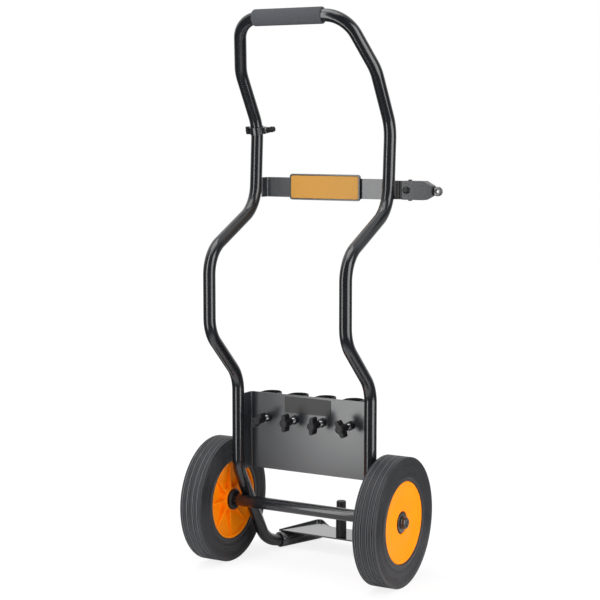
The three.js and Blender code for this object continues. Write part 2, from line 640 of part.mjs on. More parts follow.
const badgeBack = STRAP_Y - SEAT;
const badgeFront = badgeBack - BADGE.thick;
const recess = 1.2;
const panelSize = [BADGE.width - 2 * BADGE.border, BADGE.height - 2 * BADGE.border];
const badgeFace = roundedRectangle(BADGE.width - 2, BADGE.height - 2, BADGE.corner - 1);
const badgeFrame = Manifold.union([
  slab(roundedRectangle(BADGE.width, BADGE.height, BADGE.corner), badgeFront + 1.5, badgeBack, 3),
  slab(badgeFace, badgeFront, badgeFront + 1.6, 3),
]).subtract(slab(roundedRectangle(...panelSize, 4), badgeFront - 1, badgeFront + recess, 3));
place(frame, 'badge_frame', badgeFrame, SATIN_GREY, [0, 0, BADGE.z]);
place(frame, 'badge_panel', slab(
  roundedRectangle(panelSize[0] - 2 * SEAT, panelSize[1] - 2 * SEAT, 4 - SEAT),
  badgeFront - 0.2, badgeFront + recess - SEAT, 3,
), ORANGE, [0, 0, BADGE.z]);

// ---------------------------------------------------------------- retaining arm

const armFlange = 3;
const armBottom = ARM_Z - ARM_HEIGHT / 2;
const armTop = ARM_Z + ARM_HEIGHT / 2;
const webFront = HINGE_Y - ARM_DEPTH / 2 - 0.5;
const cheekR = ARM_DEPTH / 2 - 0.5;
const knuckleHalf = ARM_HEIGHT / 2 - armFlange - SEAT;

// Fixed bracket: ribbed foot on the tube, web and knuckle inside the arm.
const footFar = HINGE_X - cheekR - 1;
let bracket = Manifold.union([
  block(TRACK_HALF + TUBE_R / 2, footFar, HINGE_Y - 10, HINGE_Y + 10, armBottom + 0.5, armTop - 0.5),
  block(footFar - 1, HINGE_X, HINGE_Y - 4, HINGE_Y + 4, ARM_Z - knuckleHalf, ARM_Z + knuckleHalf),
  bar(KNUCKLE_R, ARM_Z - knuckleHalf, ARM_Z + knuckleHalf, 24).translate([HINGE_X, HINGE_Y, 0]),
]);
for (const x of [footFar - 5, footFar - 11]) {
  bracket = bracket.subtract(block(x - 1, x + 1, HINGE_Y - 12, HINGE_Y - 8.5, armBottom, armTop));
}
const pinBore = bar(PIN_R + FREE, armBottom - 9, armTop + 9, 16).translate([HINGE_X, HINGE_Y, 0]);
place(frame, 'arm_bracket', bracket.subtract(tubeSeat(1)).subtract(pinBore), PLASTIC);
place(frame, 'arm_pin', bar(PIN_R, armBottom - 2.5, armTop + 2.5, 16), GLOSS_BLACK, [HINGE_X, HINGE_Y, 0]);

const buttonAt = [HINGE_X - 2.5, 0, ARM_Z + 0.5];

// The arm is a pressed channel whose web faces the user; its cheeks hold the pin.
function armSolid() {
  const start = HINGE_X - cheekR;
  const face = new THREE.Shape([
    [start, armBottom], [ARM_FULL_X, armBottom], [ARM_TIP_X, ARM_Z - ARM_TIP_HEIGHT / 2],
    [ARM_TIP_X, ARM_Z + ARM_TIP_HEIGHT / 2], [ARM_FULL_X, armTop], [start, armTop],
  ].map(([x, z]) => new THREE.Vector2(x, z)));
  const hollow = new THREE.Shape([
    [start - 1, armBottom + armFlange], [ARM_FULL_X - 1, armBottom + armFlange],
    [ARM_TIP_X - armFlange, ARM_Z - ARM_TIP_HEIGHT / 2 + armFlange],
    [ARM_TIP_X - armFlange, ARM_Z + ARM_TIP_HEIGHT / 2 - armFlange],
    [ARM_FULL_X - 1, armTop - armFlange], [start - 1, armTop - armFlange],
  ].map(([x, z]) => new THREE.Vector2(x, z)));
  const plan = new THREE.Shape();
  const back = HINGE_Y + cheekR;
  plan.moveTo(start, webFront);
  plan.lineTo(ARM_TIP_X, webFront);
  plan.lineTo(ARM_TIP_X, HINGE_Y + 6);
  plan.lineTo(ARM_FULL_X - 8, back);
  plan.lineTo(HINGE_X, back);
  plan.absarc(HINGE_X, HINGE_Y, cheekR, Math.PI / 2, Math.PI, false);
  plan.closePath();
  return slab(face, webFront, back + 1)
    .subtract(slab(hollow, webFront + armFlange, back + 2))
    .intersect(sheet(plan, armBottom - 1, armTop + 1, 6))
    .subtract(pinBore)
    .subtract(barY(3 + SEAT, webFront - 1, webFront + armFlange + 1, 12).translate(buttonAt));
}
place(frame, 'retaining_arm', armSolid(), SATIN_GREY);

place(frame, 'arm_button', Manifold.union([
  barY(7, webFront - SEAT - 2.4, webFront - SEAT, 20),
  bar(7, 0, 1.6, 20, 4.5).rotate([90, 0, 0]).translate([0, webFront - SEAT - 2.4, 0]),
  barY(3, webFront - SEAT - 1, webFront + armFlange, 12),
]), PLASTIC, buttonAt);

const neckEnd = ARM_TIP_X + SEAT + 2;
place(frame, 'arm_collar', barX(ARM_TIP_HEIGHT / 2, ARM_TIP_X + SEAT, neckEnd, 20), PLASTIC,
  [0, EYE_Y, ARM_Z]);
place(frame, 'arm_eye', barY(EYE_R, -4, 4, 24)
  .subtract(barY(3.4, -5, 5, 14))
  .subtract(block(-EYE_R - 1, -EYE_R + 1.6, -5, 5, -EYE_R, EYE_R)), ZINC,
  [neckEnd + SEAT + EYE_R - 1.6, EYE_Y, ARM_Z - 1]);

// ---------------------------------------------------------------- clip on the left tube

// The clip sits square on the tube where its centre line passes CLIP_Z.
const leftPath = sidePath(-1);
const clipSpan = leftPath.findIndex((s, i) => s.at.z >= CLIP_Z && leftPath[i + 1].at.z < CLIP_Z);
const [above, below] = [leftPath[clipSpan], leftPath[clipSpan + 1]];
const clipAt = above.at.clone().lerp(below.at, (above.at.z - CLIP_Z) / (above.at.z - below.at.z));
const clipTilt = THREE.MathUtils.radToDeg(Math.atan2(
  below.at.y - above.at.y, above.at.z - below.at.z,
));
const clipFrame = (solid) => solid.rotate([clipTilt, 0, 0]).translate(clipAt.toArray());

const bandR = TUBE_R + SEAT + CLIP_WALL;
const clipHalf = CLIP_HEIGHT / 2;
const pegStart = 22;
const pegAxis = (solid) => solid.rotate([0, -THREE.MathUtils.radToDeg(PEG_TILT), 0])
  .translate([pegStart, 0, 0]);
function clipHalfSolid(sign) {
  const half = Manifold.union([
    bar(bandR, -clipHalf, clipHalf, 20),
    block(-25, 0, -3.2, 3.2, -clipHalf, clipHalf),
    block(0, pegStart - SEAT, -5.2, 5.2, -clipHalf + 1, clipHalf - 1),
  ]);
  const other = sign < 0 ? block(-40, 40, -SEAT / 2, 40, -20, 20) : block(-40, 40, -40, SEAT / 2, -20, 20);
  const cut = half.subtract(other)
    .subtract(barY(2.2 + SEAT, -20, 20, 10).translate([-20, 0, 0]))
    .subtract(pegAxis(barX(2.5 + SEAT, -8, 6, 12)));
  return clipFrame(cut).subtract(tubeSeat(-1));
}
place(frame, 'clip_front', clipHalfSolid(-1), GLOSS_BLACK);
place(frame, 'clip_rear', clipHalfSolid(1), GLOSS_BLACK);
place(frame, 'clip_screw', clipFrame(Manifold.union([
  barY(4, -6.2, -3.2 - SEAT, 14),
  barY(2.2, -5, 5, 10),
  barY(4, 3.2 + SEAT, 5.6, 6),
]).translate([-20, 0, 0])), PLASTIC);
place(frame, 'peg_washer', clipFrame(pegAxis(barX(6.6, 1.2, 3.2, 20)
  .subtract(barX(2.5 + SEAT, 0, 5, 12)))), ZINC);
const pegFoot = 3.2 + SEAT;
const pegRib = 4.2;
const pegRibs = [0, 1, 2, 3].map((i) => barX(
  i % 2 ? 5.4 : 6.2, pegFoot + i * pegRib, pegFoot + (i + 1) * pegRib, 12,
));
place(frame, 'cord_peg', clipFrame(pegAxis(Manifold.union([
  barX(2.5, -7.5, 8, 12), ...pegRibs,
]))), PLASTIC);

// ---------------------------------------------------------------- origin

const reach = new THREE.Box3().setFromObject(trolley, true);
const middle = reach.getCenter(new THREE.Vector3());
trolley.position.set(-middle.x, -middle.y, 0);

export default trolley;
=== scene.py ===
from math import cos, pi, radians, sin, tan

import bmesh
import bpy
from mathutils import Matrix, Vector


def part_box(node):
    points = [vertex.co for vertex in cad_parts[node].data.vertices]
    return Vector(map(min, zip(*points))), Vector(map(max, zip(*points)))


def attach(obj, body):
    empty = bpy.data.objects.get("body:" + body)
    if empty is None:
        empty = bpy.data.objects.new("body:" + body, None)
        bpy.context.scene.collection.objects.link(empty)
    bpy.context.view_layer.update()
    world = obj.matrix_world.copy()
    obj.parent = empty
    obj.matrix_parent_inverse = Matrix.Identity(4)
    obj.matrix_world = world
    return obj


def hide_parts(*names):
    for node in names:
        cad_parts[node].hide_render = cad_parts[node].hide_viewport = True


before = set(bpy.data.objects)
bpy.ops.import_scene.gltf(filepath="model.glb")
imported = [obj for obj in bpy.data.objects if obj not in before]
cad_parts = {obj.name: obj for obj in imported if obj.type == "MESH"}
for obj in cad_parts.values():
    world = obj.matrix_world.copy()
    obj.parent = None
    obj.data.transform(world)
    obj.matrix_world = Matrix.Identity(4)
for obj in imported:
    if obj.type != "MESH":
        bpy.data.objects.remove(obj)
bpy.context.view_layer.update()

# ---------------------------------------------------------------- studio
# A white photographic studio: pale floor and backdrop, a broad soft box on the right, a narrow one
# close in front on the left, and a wide one overhead.

MM = 0.001
WHITE = (1, 1, 1, 1)
CAMERA_LENS = 92.4
CAMERA_DIP, CAMERA_TURN = 6.49, 29.57
axle_low, axle_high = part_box("axle_tube")
AXLE_X = (axle_low.x + axle_high.x) / 2
AXLE_Y = (axle_low.y + axle_high.y) / 2


def at(x, y, z):
    """A place in millimetres, from the ground under the middle of the axle, in metres."""
    return Vector((AXLE_X + x * MM, AXLE_Y + y * MM, z * MM))


camera_data = bpy.data.cameras.new("camera")
camera = bpy.data.objects.new("camera", camera_data)
camera.location = at(1504.9, -2678.1, 908.7)
camera.rotation_euler = (radians(90 - CAMERA_DIP), 0, radians(CAMERA_TURN))
camera_data.lens = CAMERA_LENS
camera_data.sensor_width = 36
camera_data.clip_end = 60
bpy.context.collection.objects.link(camera)
bpy.context.scene.camera = camera
bpy.context.scene.view_settings.view_transform = "Standard"


def soft_box(name, place, look_at, width, height, watts):
    """A rectangular lamp, width and height in metres, that the camera itself doesn't see."""
    light = bpy.data.lights.new(name, "AREA")
    light.shape = "RECTANGLE"
    light.size = width
    light.size_y = height
    light.energy = watts
    lamp = bpy.data.objects.new(name, light)
    lamp.location = place
    lamp.rotation_euler = (look_at - place).to_track_quat("-Z", "Y").to_euler()
    lamp.visible_camera = False
    bpy.context.collection.objects.link(lamp)


BOX_Z = 930
uprights = at(0, 0, BOX_Z)
trolley_middle = at(0, 40, 560)
soft_box("soft_box_right", at(2200, -400, BOX_Z), uprights, 1.5, 2.6, 56)
soft_box("soft_box_front", at(-330, -800, BOX_Z), uprights, 0.26, 1.85, 8)
soft_box("soft_box_top", at(-200, -500, 2900), trolley_middle, 2.0, 1.6, 32)

world = bpy.data.worlds.new("studio")
bpy.context.scene.world = world
world.use_nodes = True
sky = world.node_tree
sky.nodes.clear()
ambient = sky.nodes.new("ShaderNodeBackground")
ambient.inputs["Color"].default_value = (0.8, 0.81, 0.83, 1)
ambient.inputs["Strength"].default_value = 0.62
seen = sky.nodes.new("ShaderNodeBackground")
seen.inputs["Color"].default_value = WHITE
reflected = sky.nodes.new("ShaderNodeBackground")
reflected.inputs["Color"].default_value = WHITE
# What gloss reflects: a bright backdrop behind and above the trolley, dark studio in front.
heading = sky.nodes.new("ShaderNodeTexCoord")
behind = sky.nodes.new("ShaderNodeVectorMath")
behind.operation = "DOT_PRODUCT"
behind.inputs[1].default_value = (-0.35, 0.62, 0.7)
backdrop = sky.nodes.new("ShaderNodeMapRange")
backdrop.interpolation_type = "SMOOTHSTEP"
backdrop.inputs["From Min"].default_value = 0.1
backdrop.inputs["From Max"].default_value = 0.75
backdrop.inputs["To Min"].default_value = 0.06
backdrop.inputs["To Max"].default_value = 0.95
sky.links.new(heading.outputs["Generated"], behind.inputs[0])
sky.links.new(behind.outputs["Value"], backdrop.inputs["Value"])
sky.links.new(backdrop.outputs["Result"], reflected.inputs["Strength"])
path = sky.nodes.new("ShaderNodeLightPath")
pick_glossy = sky.nodes.new("ShaderNodeMixShader")
pick_camera = sky.nodes.new("ShaderNodeMixShader")
sky_out = sky.nodes.new("ShaderNodeOutputWorld")
sky.links.new(path.outputs["Is Glossy Ray"], pick_glossy.inputs["Fac"])
sky.links.new(ambient.outputs[0], pick_glossy.inputs[1])
sky.links.new(reflected.outputs[0], pick_glossy.inputs[2])
sky.links.new(path.outputs["Is Camera Ray"], pick_camera.inputs["Fac"])
sky.links.new(pick_glossy.outputs[0], pick_camera.inputs[1])
sky.links.new(seen.outputs[0], pick_camera.inputs[2])
sky.links.new(pick_camera.outputs[0], sky_out.inputs["Surface"])

FLOOR_HALF_M = 6
floor_bm = bmesh.new()
bmesh.ops.create_grid(floor_bm, x_segments=2, y_segments=2, size=FLOOR_HALF_M)
floor_mesh = bpy.data.meshes.new("floor")
floor_bm.to_mesh(floor_mesh)
floor_bm.free()
floor = bpy.data.objects.new("floor", floor_mesh)
bpy.context.collection.objects.link(floor)
floor_paint = bpy.data.materials.new("floor_paint")
floor_paint.use_nodes = True
ground = floor_paint.node_tree
ground.nodes.clear()
matte = ground.nodes.new("ShaderNodeBsdfDiffuse")
matte.inputs["Color"].default_value = (0.9, 0.9, 0.91, 1)
glow = ground.nodes.new("ShaderNodeEmission")
glow.inputs["Color"].default_value = WHITE
glow.inputs["Strength"].default_value = 1.06
ground_path = ground.nodes.new("ShaderNodeLightPath")
spot = ground.nodes.new("ShaderNodeTexCoord")
reach = ground.nodes.new("ShaderNodeVectorMath")
reach.operation = "LENGTH"
# The camera sees the floor glow white, less so near the trolley, where it keeps the shadow.
fade = ground.nodes.new("ShaderNodeMapRange")
fade.interpolation_type = "SMOOTHSTEP"
fade.inputs["From Min"].default_value = 0.35
fade.inputs["From Max"].default_value = 1.1
fade.inputs["To Min"].default_value = 0.78
fade.inputs["To Max"].default_value = 1.0
keep_shadow = ground.nodes.new("ShaderNodeMath")
keep_shadow.operation = "MULTIPLY"
blend_ground = ground.nodes.new("ShaderNodeMixShader")
# Gloss reflects the floor only close to the trolley.
clear = ground.nodes.new("ShaderNodeBsdfTransparent")
far_off = ground.nodes.new("ShaderNodeMapRange")
far_off.interpolation_type = "SMOOTHSTEP"
far_off.inputs["From Min"].default_value = 0.4
far_off.inputs["From Max"].default_value = 0.7
unmirrored = ground.nodes.new("ShaderNodeMath")
unmirrored.operation = "MULTIPLY"
skip_far = ground.nodes.new("ShaderNodeMixShader")
ground_out = ground.nodes.new("ShaderNodeOutputMaterial")
ground.links.new(spot.outputs["Object"], reach.inputs[0])
ground.links.new(reach.outputs["Value"], fade.inputs["Value"])
ground.links.new(ground_path.outputs["Is Camera Ray"], keep_shadow.inputs[0])
ground.links.new(fade.outputs["Result"], keep_shadow.inputs[1])
ground.links.new(keep_shadow.outputs[0], blend_ground.inputs["Fac"])
ground.links.new(matte.outputs[0], blend_ground.inputs[1])
ground.links.new(glow.outputs[0], blend_ground.inputs[2])
ground.links.new(reach.outputs["Value"], far_off.inputs["Value"])
ground.links.new(far_off.outputs["Result"], unmirrored.inputs[0])
ground.links.new(ground_path.outputs["Is Glossy Ray"], unmirrored.inputs[1])
ground.links.new(unmirrored.outputs[0], skip_far.inputs["Fac"])
ground.links.new(blend_ground.outputs[0], skip_far.inputs[1])
ground.links.new(clear.outputs[0], skip_far.inputs[2])
ground.links.new(skip_far.outputs[0], ground_out.inputs["Surface"])
floor_mesh.materials.append(floor_paint)

# ---------------------------------------------------------------- frame tube
# One steel tube of 25 mm, bent on a former into both uprights and the handle, welded to the
# cross members and coated in gloss black powder paint. It is made as two halves that meet under
# the grip, each swept round its bends.

SEAT = 0.3  # the gap between a piece and what carries it
TUBE_R = 12.5
TUBE_WALL = 2
TUBE_SIDES = 40
BEND_STEP = radians(3)
TRACK_HALF = 153
HANDLE_HALF, HANDLE_Y, HANDLE_Z = 117, -60, 1117
HIP_Y = -121
LOWER_Y = -14.4
WHEEL_RADIUS = 130
SLEEVE_R = 16.5
LEG_SLANT = radians(31.2)
LEG_BEND_R = 60
TOE_TAPER = radians(21)
TUBE_END_Y = 230

leg_offset = 2 * TUBE_R + SEAT
leg_top_z = WHEEL_RADIUS + (leg_offset - LOWER_Y * cos(LEG_SLANT)) / sin(LEG_SLANT)
heel_y = (leg_offset + (WHEEL_RADIUS - SLEEVE_R) * sin(LEG_SLANT)) / cos(LEG_SLANT)
X, Y, Z = Vector((1, 0, 0)), Vector((0, 1, 0)), Vector((0, 0, 1))


def toe_x(y):
    """How far from the middle the tube runs at y, once it has turned into the toe."""
    return TRACK_HALF - (y - heel_y) * tan(TOE_TAPER)


# Corners of the bent tube, each (x, y, z, bend radius).
tube_corners = [
    (SEAT / 2, HANDLE_Y, HANDLE_Z, 0),
    (HANDLE_HALF, HANDLE_Y, HANDLE_Z, 60),
    (TRACK_HALF, 1.1, 1014, 100),
    (TRACK_HALF, 65.6, 905, 80),
    (TRACK_HALF, 56.7, 742.6, 75),
    (TRACK_HALF, HIP_Y, 656, 70),
    (TRACK_HALF, HIP_Y, 497, 70),
    (TRACK_HALF, LOWER_Y, 395, 70),
    (TRACK_HALF, LOWER_Y, leg_top_z, LEG_BEND_R),
    (TRACK_HALF, heel_y, SLEEVE_R, 64),
    (toe_x(TUBE_END_Y), TUBE_END_Y, SLEEVE_R, 0),
]


def verts_in(geom):
    """The corners among what an operator gives back."""
    return [g for g in geom if isinstance(g, bmesh.types.BMVert)]


def edges_in(geom):
    """The edges among what an operator gives back."""
    return [g for g in geom if isinstance(g, bmesh.types.BMEdge)]


def ring(bm, place, radius, sides):
    """A circle's edges, radius in millimetres, in the plane that place turns it to."""
    verts = bmesh.ops.create_circle(
        bm, cap_ends=False, radius=radius * MM, segments=sides, matrix=place)["verts"]
    return list(dict.fromkeys(edge for vert in verts for edge in vert.link_edges))


def swept_tube(bm, corners, radius, sides, step):
    """Sweeps a ring along the corners: straight runs are extruded and bends are spun."""
    points = [at(x, y, z) for x, y, z, _ in corners]
    direction = (points[1] - points[0]).normalized()
    square_on = Z.rotation_difference(direction).to_matrix().to_4x4()
    edges = ring(bm, Matrix.Translation(points[0]) @ square_on, radius, sides)
    here = points[0]
    for i in range(1, len(points)):
        last = i == len(points) - 1
        onward = direction if last else (points[i + 1] - points[i]).normalized()
        turn = direction.angle(onward, 0)
        setback = 0 if last else corners[i][3] * MM * tan(turn / 2)
        bend_start = points[i] - direction * setback
        run = bmesh.ops.extrude_edge_only(bm, edges=edges)["geom"]
        bmesh.ops.translate(bm, verts=verts_in(run), vec=bend_start - here)
        edges = edges_in(run)
        if last:
            break
        axis = direction.cross(onward).normalized()
        inward = axis.cross(direction)
        bent = bmesh.ops.spin(
            bm, geom=edges, cent=bend_start + inward * corners[i][3] * MM, axis=axis,
            angle=turn, steps=max(2, round(turn / step)), use_merge=False)["geom_last"]
        edges = edges_in(bent)
        here = points[i] + onward * setback
        direction = onward


GRAIN_HEIGHT = 0.4
CLOUD_SCALE = 14
COAT_ROUGHNESS = 0.12
SHARP_ANGLE = 35


def fine_grain():
    """Shader group: an orange-peel or moulded grain as a normal, with slow drifts in gloss."""
    group = bpy.data.node_groups.new("fine_grain", "ShaderNodeTree")
    for label, kind in (("Scale", "NodeSocketFloat"), ("Depth", "NodeSocketFloat"),
                        ("Roughness", "NodeSocketFloat"), ("Drift", "NodeSocketFloat")):
        group.interface.new_socket(name=label, in_out="INPUT", socket_type=kind)
    for label, kind in (("Roughness", "NodeSocketFloat"), ("Cloud", "NodeSocketFloat"),
                        ("Normal", "NodeSocketVector")):
        group.interface.new_socket(name=label, in_out="OUTPUT", socket_type=kind)
    nodes, links = group.nodes, group.links
    given = nodes.new("NodeGroupInput")
    result = nodes.new("NodeGroupOutput")
    place = nodes.new("ShaderNodeTexCoord")
    grain = nodes.new("ShaderNodeTexNoise")
    grain.inputs["Detail"].default_value = 3
    links.new(place.outputs["Object"], grain.inputs["Vector"])
    links.new(given.outputs["Scale"], grain.inputs["Scale"])
    relief = nodes.new("ShaderNodeBump")
    relief.inputs["Distance"].default_value = GRAIN_HEIGHT * MM
    links.new(given.outputs["Depth"], relief.inputs["Strength"])
    links.new(grain.outputs["Fac"], relief.inputs["Height"])
    cloud = nodes.new("ShaderNodeTexNoise")
    cloud.inputs["Scale"].default_value = CLOUD_SCALE
    cloud.inputs["Detail"].default_value = 4
    links.new(place.outputs["Object"], cloud.inputs["Vector"])
    centred = nodes.new("ShaderNodeMath")
    centred.operation = "SUBTRACT"
    centred.inputs[1].default_value = 0.5
    links.new(cloud.outputs["Fac"], centred.inputs[0])
    drift = nodes.new("ShaderNodeMath")
    drift.operation = "MULTIPLY_ADD"
    drift.use_clamp = True
    links.new(centred.outputs[0], drift.inputs[0])
    links.new(given.outputs["Drift"], drift.inputs[1])
    links.new(given.outputs["Roughness"], drift.inputs[2])
    links.new(drift.outputs[0], result.inputs["Roughness"])
    links.new(cloud.outputs["Fac"], result.inputs["Cloud"])
    links.new(relief.outputs["Normal"], result.inputs["Normal"])
    return group


GRAIN = fine_grain()


def finish_material(name, dark, light, roughness, grain, depth, drift, metal=0.0, coat=0.0,
                    specular=0.5):
    """A Principled material whose colour drifts between two tones over fine grain."""
    material = bpy.data.materials.new(name)
    material.use_nodes = True
    tree = material.node_tree
    shader = tree.nodes["Principled BSDF"]
    shader.inputs["Metallic"].default_value = metal
    shader.inputs["Specular IOR Level"].default_value = specular
    shader.inputs["Coat Weight"].default_value = coat
    shader.inputs["Coat Roughness"].default_value = COAT_ROUGHNESS
    surface = tree.nodes.new("ShaderNodeGroup")
    surface.node_tree = GRAIN
    surface.inputs["Scale"].default_value = grain
    surface.inputs["Depth"].default_value = depth
    surface.inputs["Roughness"].default_value = roughness
    surface.inputs["Drift"].default_value = drift
    tone = tree.nodes.new("ShaderNodeMix")
    tone.name = "tone"
    tone.data_type = "RGBA"
    tone.inputs["A"].default_value = (*dark, 1)
    tone.inputs["B"].default_value = (*light, 1)
    tree.links.new(surface.outputs["Cloud"], tone.inputs["Factor"])
    tree.links.new(tone.outputs["Result"], shader.inputs["Base Color"])
    tree.links.new(surface.outputs["Roughness"], shader.inputs["Roughness"])
    tree.links.new(surface.outputs["Normal"], shader.inputs["Normal"])
    return material


def piece(name, bm, material, body, nodes):
    """Closes and turns the faces outwards, hangs the piece on its body and hides the CAD nodes it
    replaces.
    """
    bmesh.ops.remove_doubles(bm, verts=bm.verts, dist=1e-7)
    bmesh.ops.recalc_face_normals(bm, faces=bm.faces)
    mesh = bpy.data.meshes.new(name)
    bm.to_mesh(mesh)
    bm.free()
    mesh.shade_smooth()
    mesh.set_sharp_from_angle(angle=radians(SHARP_ANGLE))
    mesh.materials.append(material)
    made = bpy.data.objects.new(name, mesh)
    bpy.context.collection.objects.link(made)
    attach(made, body)
    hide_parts(*nodes)
    return made


GLOSS_BLACK = finish_material(
    "gloss_black_powder", (0.006, 0.0065, 0.008), (0.009, 0.01, 0.012),
    roughness=0.22, grain=500, depth=0.005, drift=0.05, coat=0.35)


for side, sign in (("left", -1), ("right", 1)):
    bm = bmesh.new()
    corners = [(sign * x, y, z, r) for x, y, z, r in tube_corners]
    swept_tube(bm, corners, TUBE_R, TUBE_SIDES, BEND_STEP)
    swept_tube(bm, corners, TUBE_R - TUBE_WALL, TUBE_SIDES, BEND_STEP)
    open_edges = [edge for edge in bm.edges if edge.is_boundary]
    halfway = HANDLE_Z / 2 * MM
    handle_end = [e for e in open_edges if e.verts[0].co.z > halfway]
    toe_end = [e for e in open_edges if e.verts[0].co.z < halfway]
    bmesh.ops.bridge_loops(bm, edges=handle_end)
    bmesh.ops.bridge_loops(bm, edges=toe_end)
    piece(f"frame_tube_{side}", bm, GLOSS_BLACK, "frame", [f"side_tube_{side}"])

# ---------------------------------------------------------------- grip
# A sleeve of closed-cell foam pushed over the middle of the handle, its ends cut square and
# softly rounded.

GRIP_R = 16.5
GRIP_X = (-83, 70)
GRIP_ROUND = 2.5


def closed_profile(bm, profile, centre, axis, out, steps=96):
    """Spins a closed profile of (radius, along) points about an axis through the centre."""
    verts = [bm.verts.new(centre + (out * r + axis * x) * MM) for r, x in profile]
    edges = [bm.edges.new((a, b)) for a, b in zip(verts, verts[1:] + verts[:1])]
    bmesh.ops.spin(bm, geom=verts + edges, cent=centre, axis=axis, angle=2 * pi,
                   steps=steps, use_merge=True)


def rounded(corners, steps=4):
    """Rounds the corners of a closed profile: each corner is (a, b) or (a, b, radius)."""
    points = []
    count = len(corners)
    for i, corner in enumerate(corners):
        if len(corner) == 2 or corner[2] == 0:
            points.append(corner[:2])
            continue
        here = Vector(corner[:2])
        back = (Vector(corners[i - 1][:2]) - here).normalized()
        forth = (Vector(corners[(i + 1) % count][:2]) - here).normalized()
        half = back.angle(forth) / 2
        start = here + back * corner[2] / tan(half)
        middle = here + (back + forth).normalized() * corner[2] / sin(half)
        arm = start - middle
        sweep = pi - 2 * half
        if back.x * forth.y - back.y * forth.x > 0:
            sweep = -sweep
        for k in range(steps + 1):
            turned = Matrix.Rotation(sweep * k / steps, 2) @ arm
            points.append(tuple(middle + turned))
    return points


FOAM = finish_material(
    "grip_foam", (0.048, 0.051, 0.057), (0.07, 0.074, 0.082),
    roughness=0.85, grain=1500, depth=0.5, drift=0.12, specular=0.3)

bm = bmesh.new()
bore = TUBE_R + SEAT
closed_profile(bm, rounded([
    (bore, GRIP_X[0]), (GRIP_R, GRIP_X[0], GRIP_ROUND), (GRIP_R, GRIP_X[1], GRIP_ROUND),
    (bore, GRIP_X[1]),
]), at(0, HANDLE_Y, HANDLE_Z), X, Z)
piece("handle_grip_foam", bm, FOAM, "frame", ["handle_grip"])

# ---------------------------------------------------------------- axle
# A cross tube welded between the slanted legs, painted with the frame, and a bright zinc-plated
# shaft through it that carries the wheels.

AXLE_TUBE_HALF = TRACK_HALF + TUBE_R
SHAFT_R = 8
WHEEL_X = 197.6
HUB_OUTER_X = WHEEL_X + 17.9
WASHER_THICK = 2
CAP_X = HUB_OUTER_X + SEAT + WASHER_THICK + SEAT
CAP_LENGTH = 9.2
CAP_FLOOR = 3.7
SHAFT_HALF = CAP_X + CAP_LENGTH - CAP_FLOOR - SEAT

ZINC = finish_material(
    "zinc_plate", (0.5, 0.51, 0.52), (0.66, 0.67, 0.68),
    roughness=0.32, grain=700, depth=0.1, drift=0.25, metal=1.0)

bm = bmesh.new()
closed_profile(bm, rounded([
    (SHAFT_R + SEAT, -AXLE_TUBE_HALF), (TUBE_R, -AXLE_TUBE_HALF, 0.8),
    (TUBE_R, AXLE_TUBE_HALF, 0.8), (SHAFT_R + SEAT, AXLE_TUBE_HALF),
]), at(0, 0, WHEEL_RADIUS), X, Z)
piece("axle_cross_tube", bm, GLOSS_BLACK, "frame", ["axle_tube"])

bm = bmesh.new()
closed_profile(bm, rounded([
    (0, -SHAFT_HALF), (SHAFT_R, -SHAFT_HALF, 1), (SHAFT_R, SHAFT_HALF, 1), (0, SHAFT_HALF),
]), at(0, 0, WHEEL_RADIUS), X, Z, 48)
piece("axle_bright_shaft", bm, ZINC, "frame", ["axle_shaft"])

# ---------------------------------------------------------------- tyres
# Solid black rubber tyres, moulded in one: a flat tread with four grooves and nearly square
# shoulders. The lips of the grooves are coloured paler, a painted highlight where their edges
# catch the light. The side walls have fine raised rings and, round the rim, a thicker bead ring.

TYRE_HALF = 25
BEAD_R = 82.3
TREAD_HALF = 24.3
GROOVE_X = (-17.4, -6.6, 6.6, 17.4)
GROOVE_HALF = 1.1
GROOVE_LIP = 1
GROOVE_DEPTH = 2.5
GROOVE_LIP_DROP = 0.5
RING_RADII = (94, 96.6, 99.2, 104, 109, 112, 115, 118, 121)
RING_FOOT, RING_CREST = 0.8, 0.3
WALL_SUNK, RING_SUNK = 1.3, 0.5
TREAD_FACE, PAINTED_HIGHLIGHT_FACE = 1, 2

RUBBER = finish_material(
    "tyre_rubber", (0.015, 0.016, 0.018), (0.022, 0.023, 0.026),
    roughness=0.42, grain=600, depth=0.08, drift=0.15)
TREAD_RUBBER = finish_material(
    "tyre_tread_rubber", (0.019, 0.0197, 0.022), (0.028, 0.029, 0.032),
    roughness=0.5, grain=400, depth=0.25, drift=0.15, specular=0.3)
# A painted highlight: the groove lips are coloured paler to stand in for the light they catch.
PAINTED_HIGHLIGHT_RUBBER = finish_material(
    "tyre_groove_lip_painted_highlight", (0.075, 0.077, 0.083), (0.12, 0.122, 0.13),
    roughness=0.55, grain=400, depth=0.25, drift=0.15)


def side_wall():
    """From the bead out to the shoulder, as (radius, outward) corners."""
    wall = [(BEAD_R, TYRE_HALF - 2.5), (BEAD_R + 0.6, TYRE_HALF - 0.5, 0.8),
            (BEAD_R + 2.4, TYRE_HALF + 0.2, 1.2), (BEAD_R + 5, TYRE_HALF, 1.2),
            (BEAD_R + 6.5, TYRE_HALF - 1.1, 1)]
    for r in RING_RADII:
        wall += [(r - RING_FOOT, TYRE_HALF - WALL_SUNK), (r - RING_CREST, TYRE_HALF - RING_SUNK),
                 (r + RING_CREST, TYRE_HALF - RING_SUNK), (r + RING_FOOT, TYRE_HALF - WALL_SUNK)]
    shoulder = [(WHEEL_RADIUS - 0.6, TYRE_HALF - 0.7, 0.2), (WHEEL_RADIUS, TREAD_HALF - 0.4, 0.2)]
    return wall + shoulder


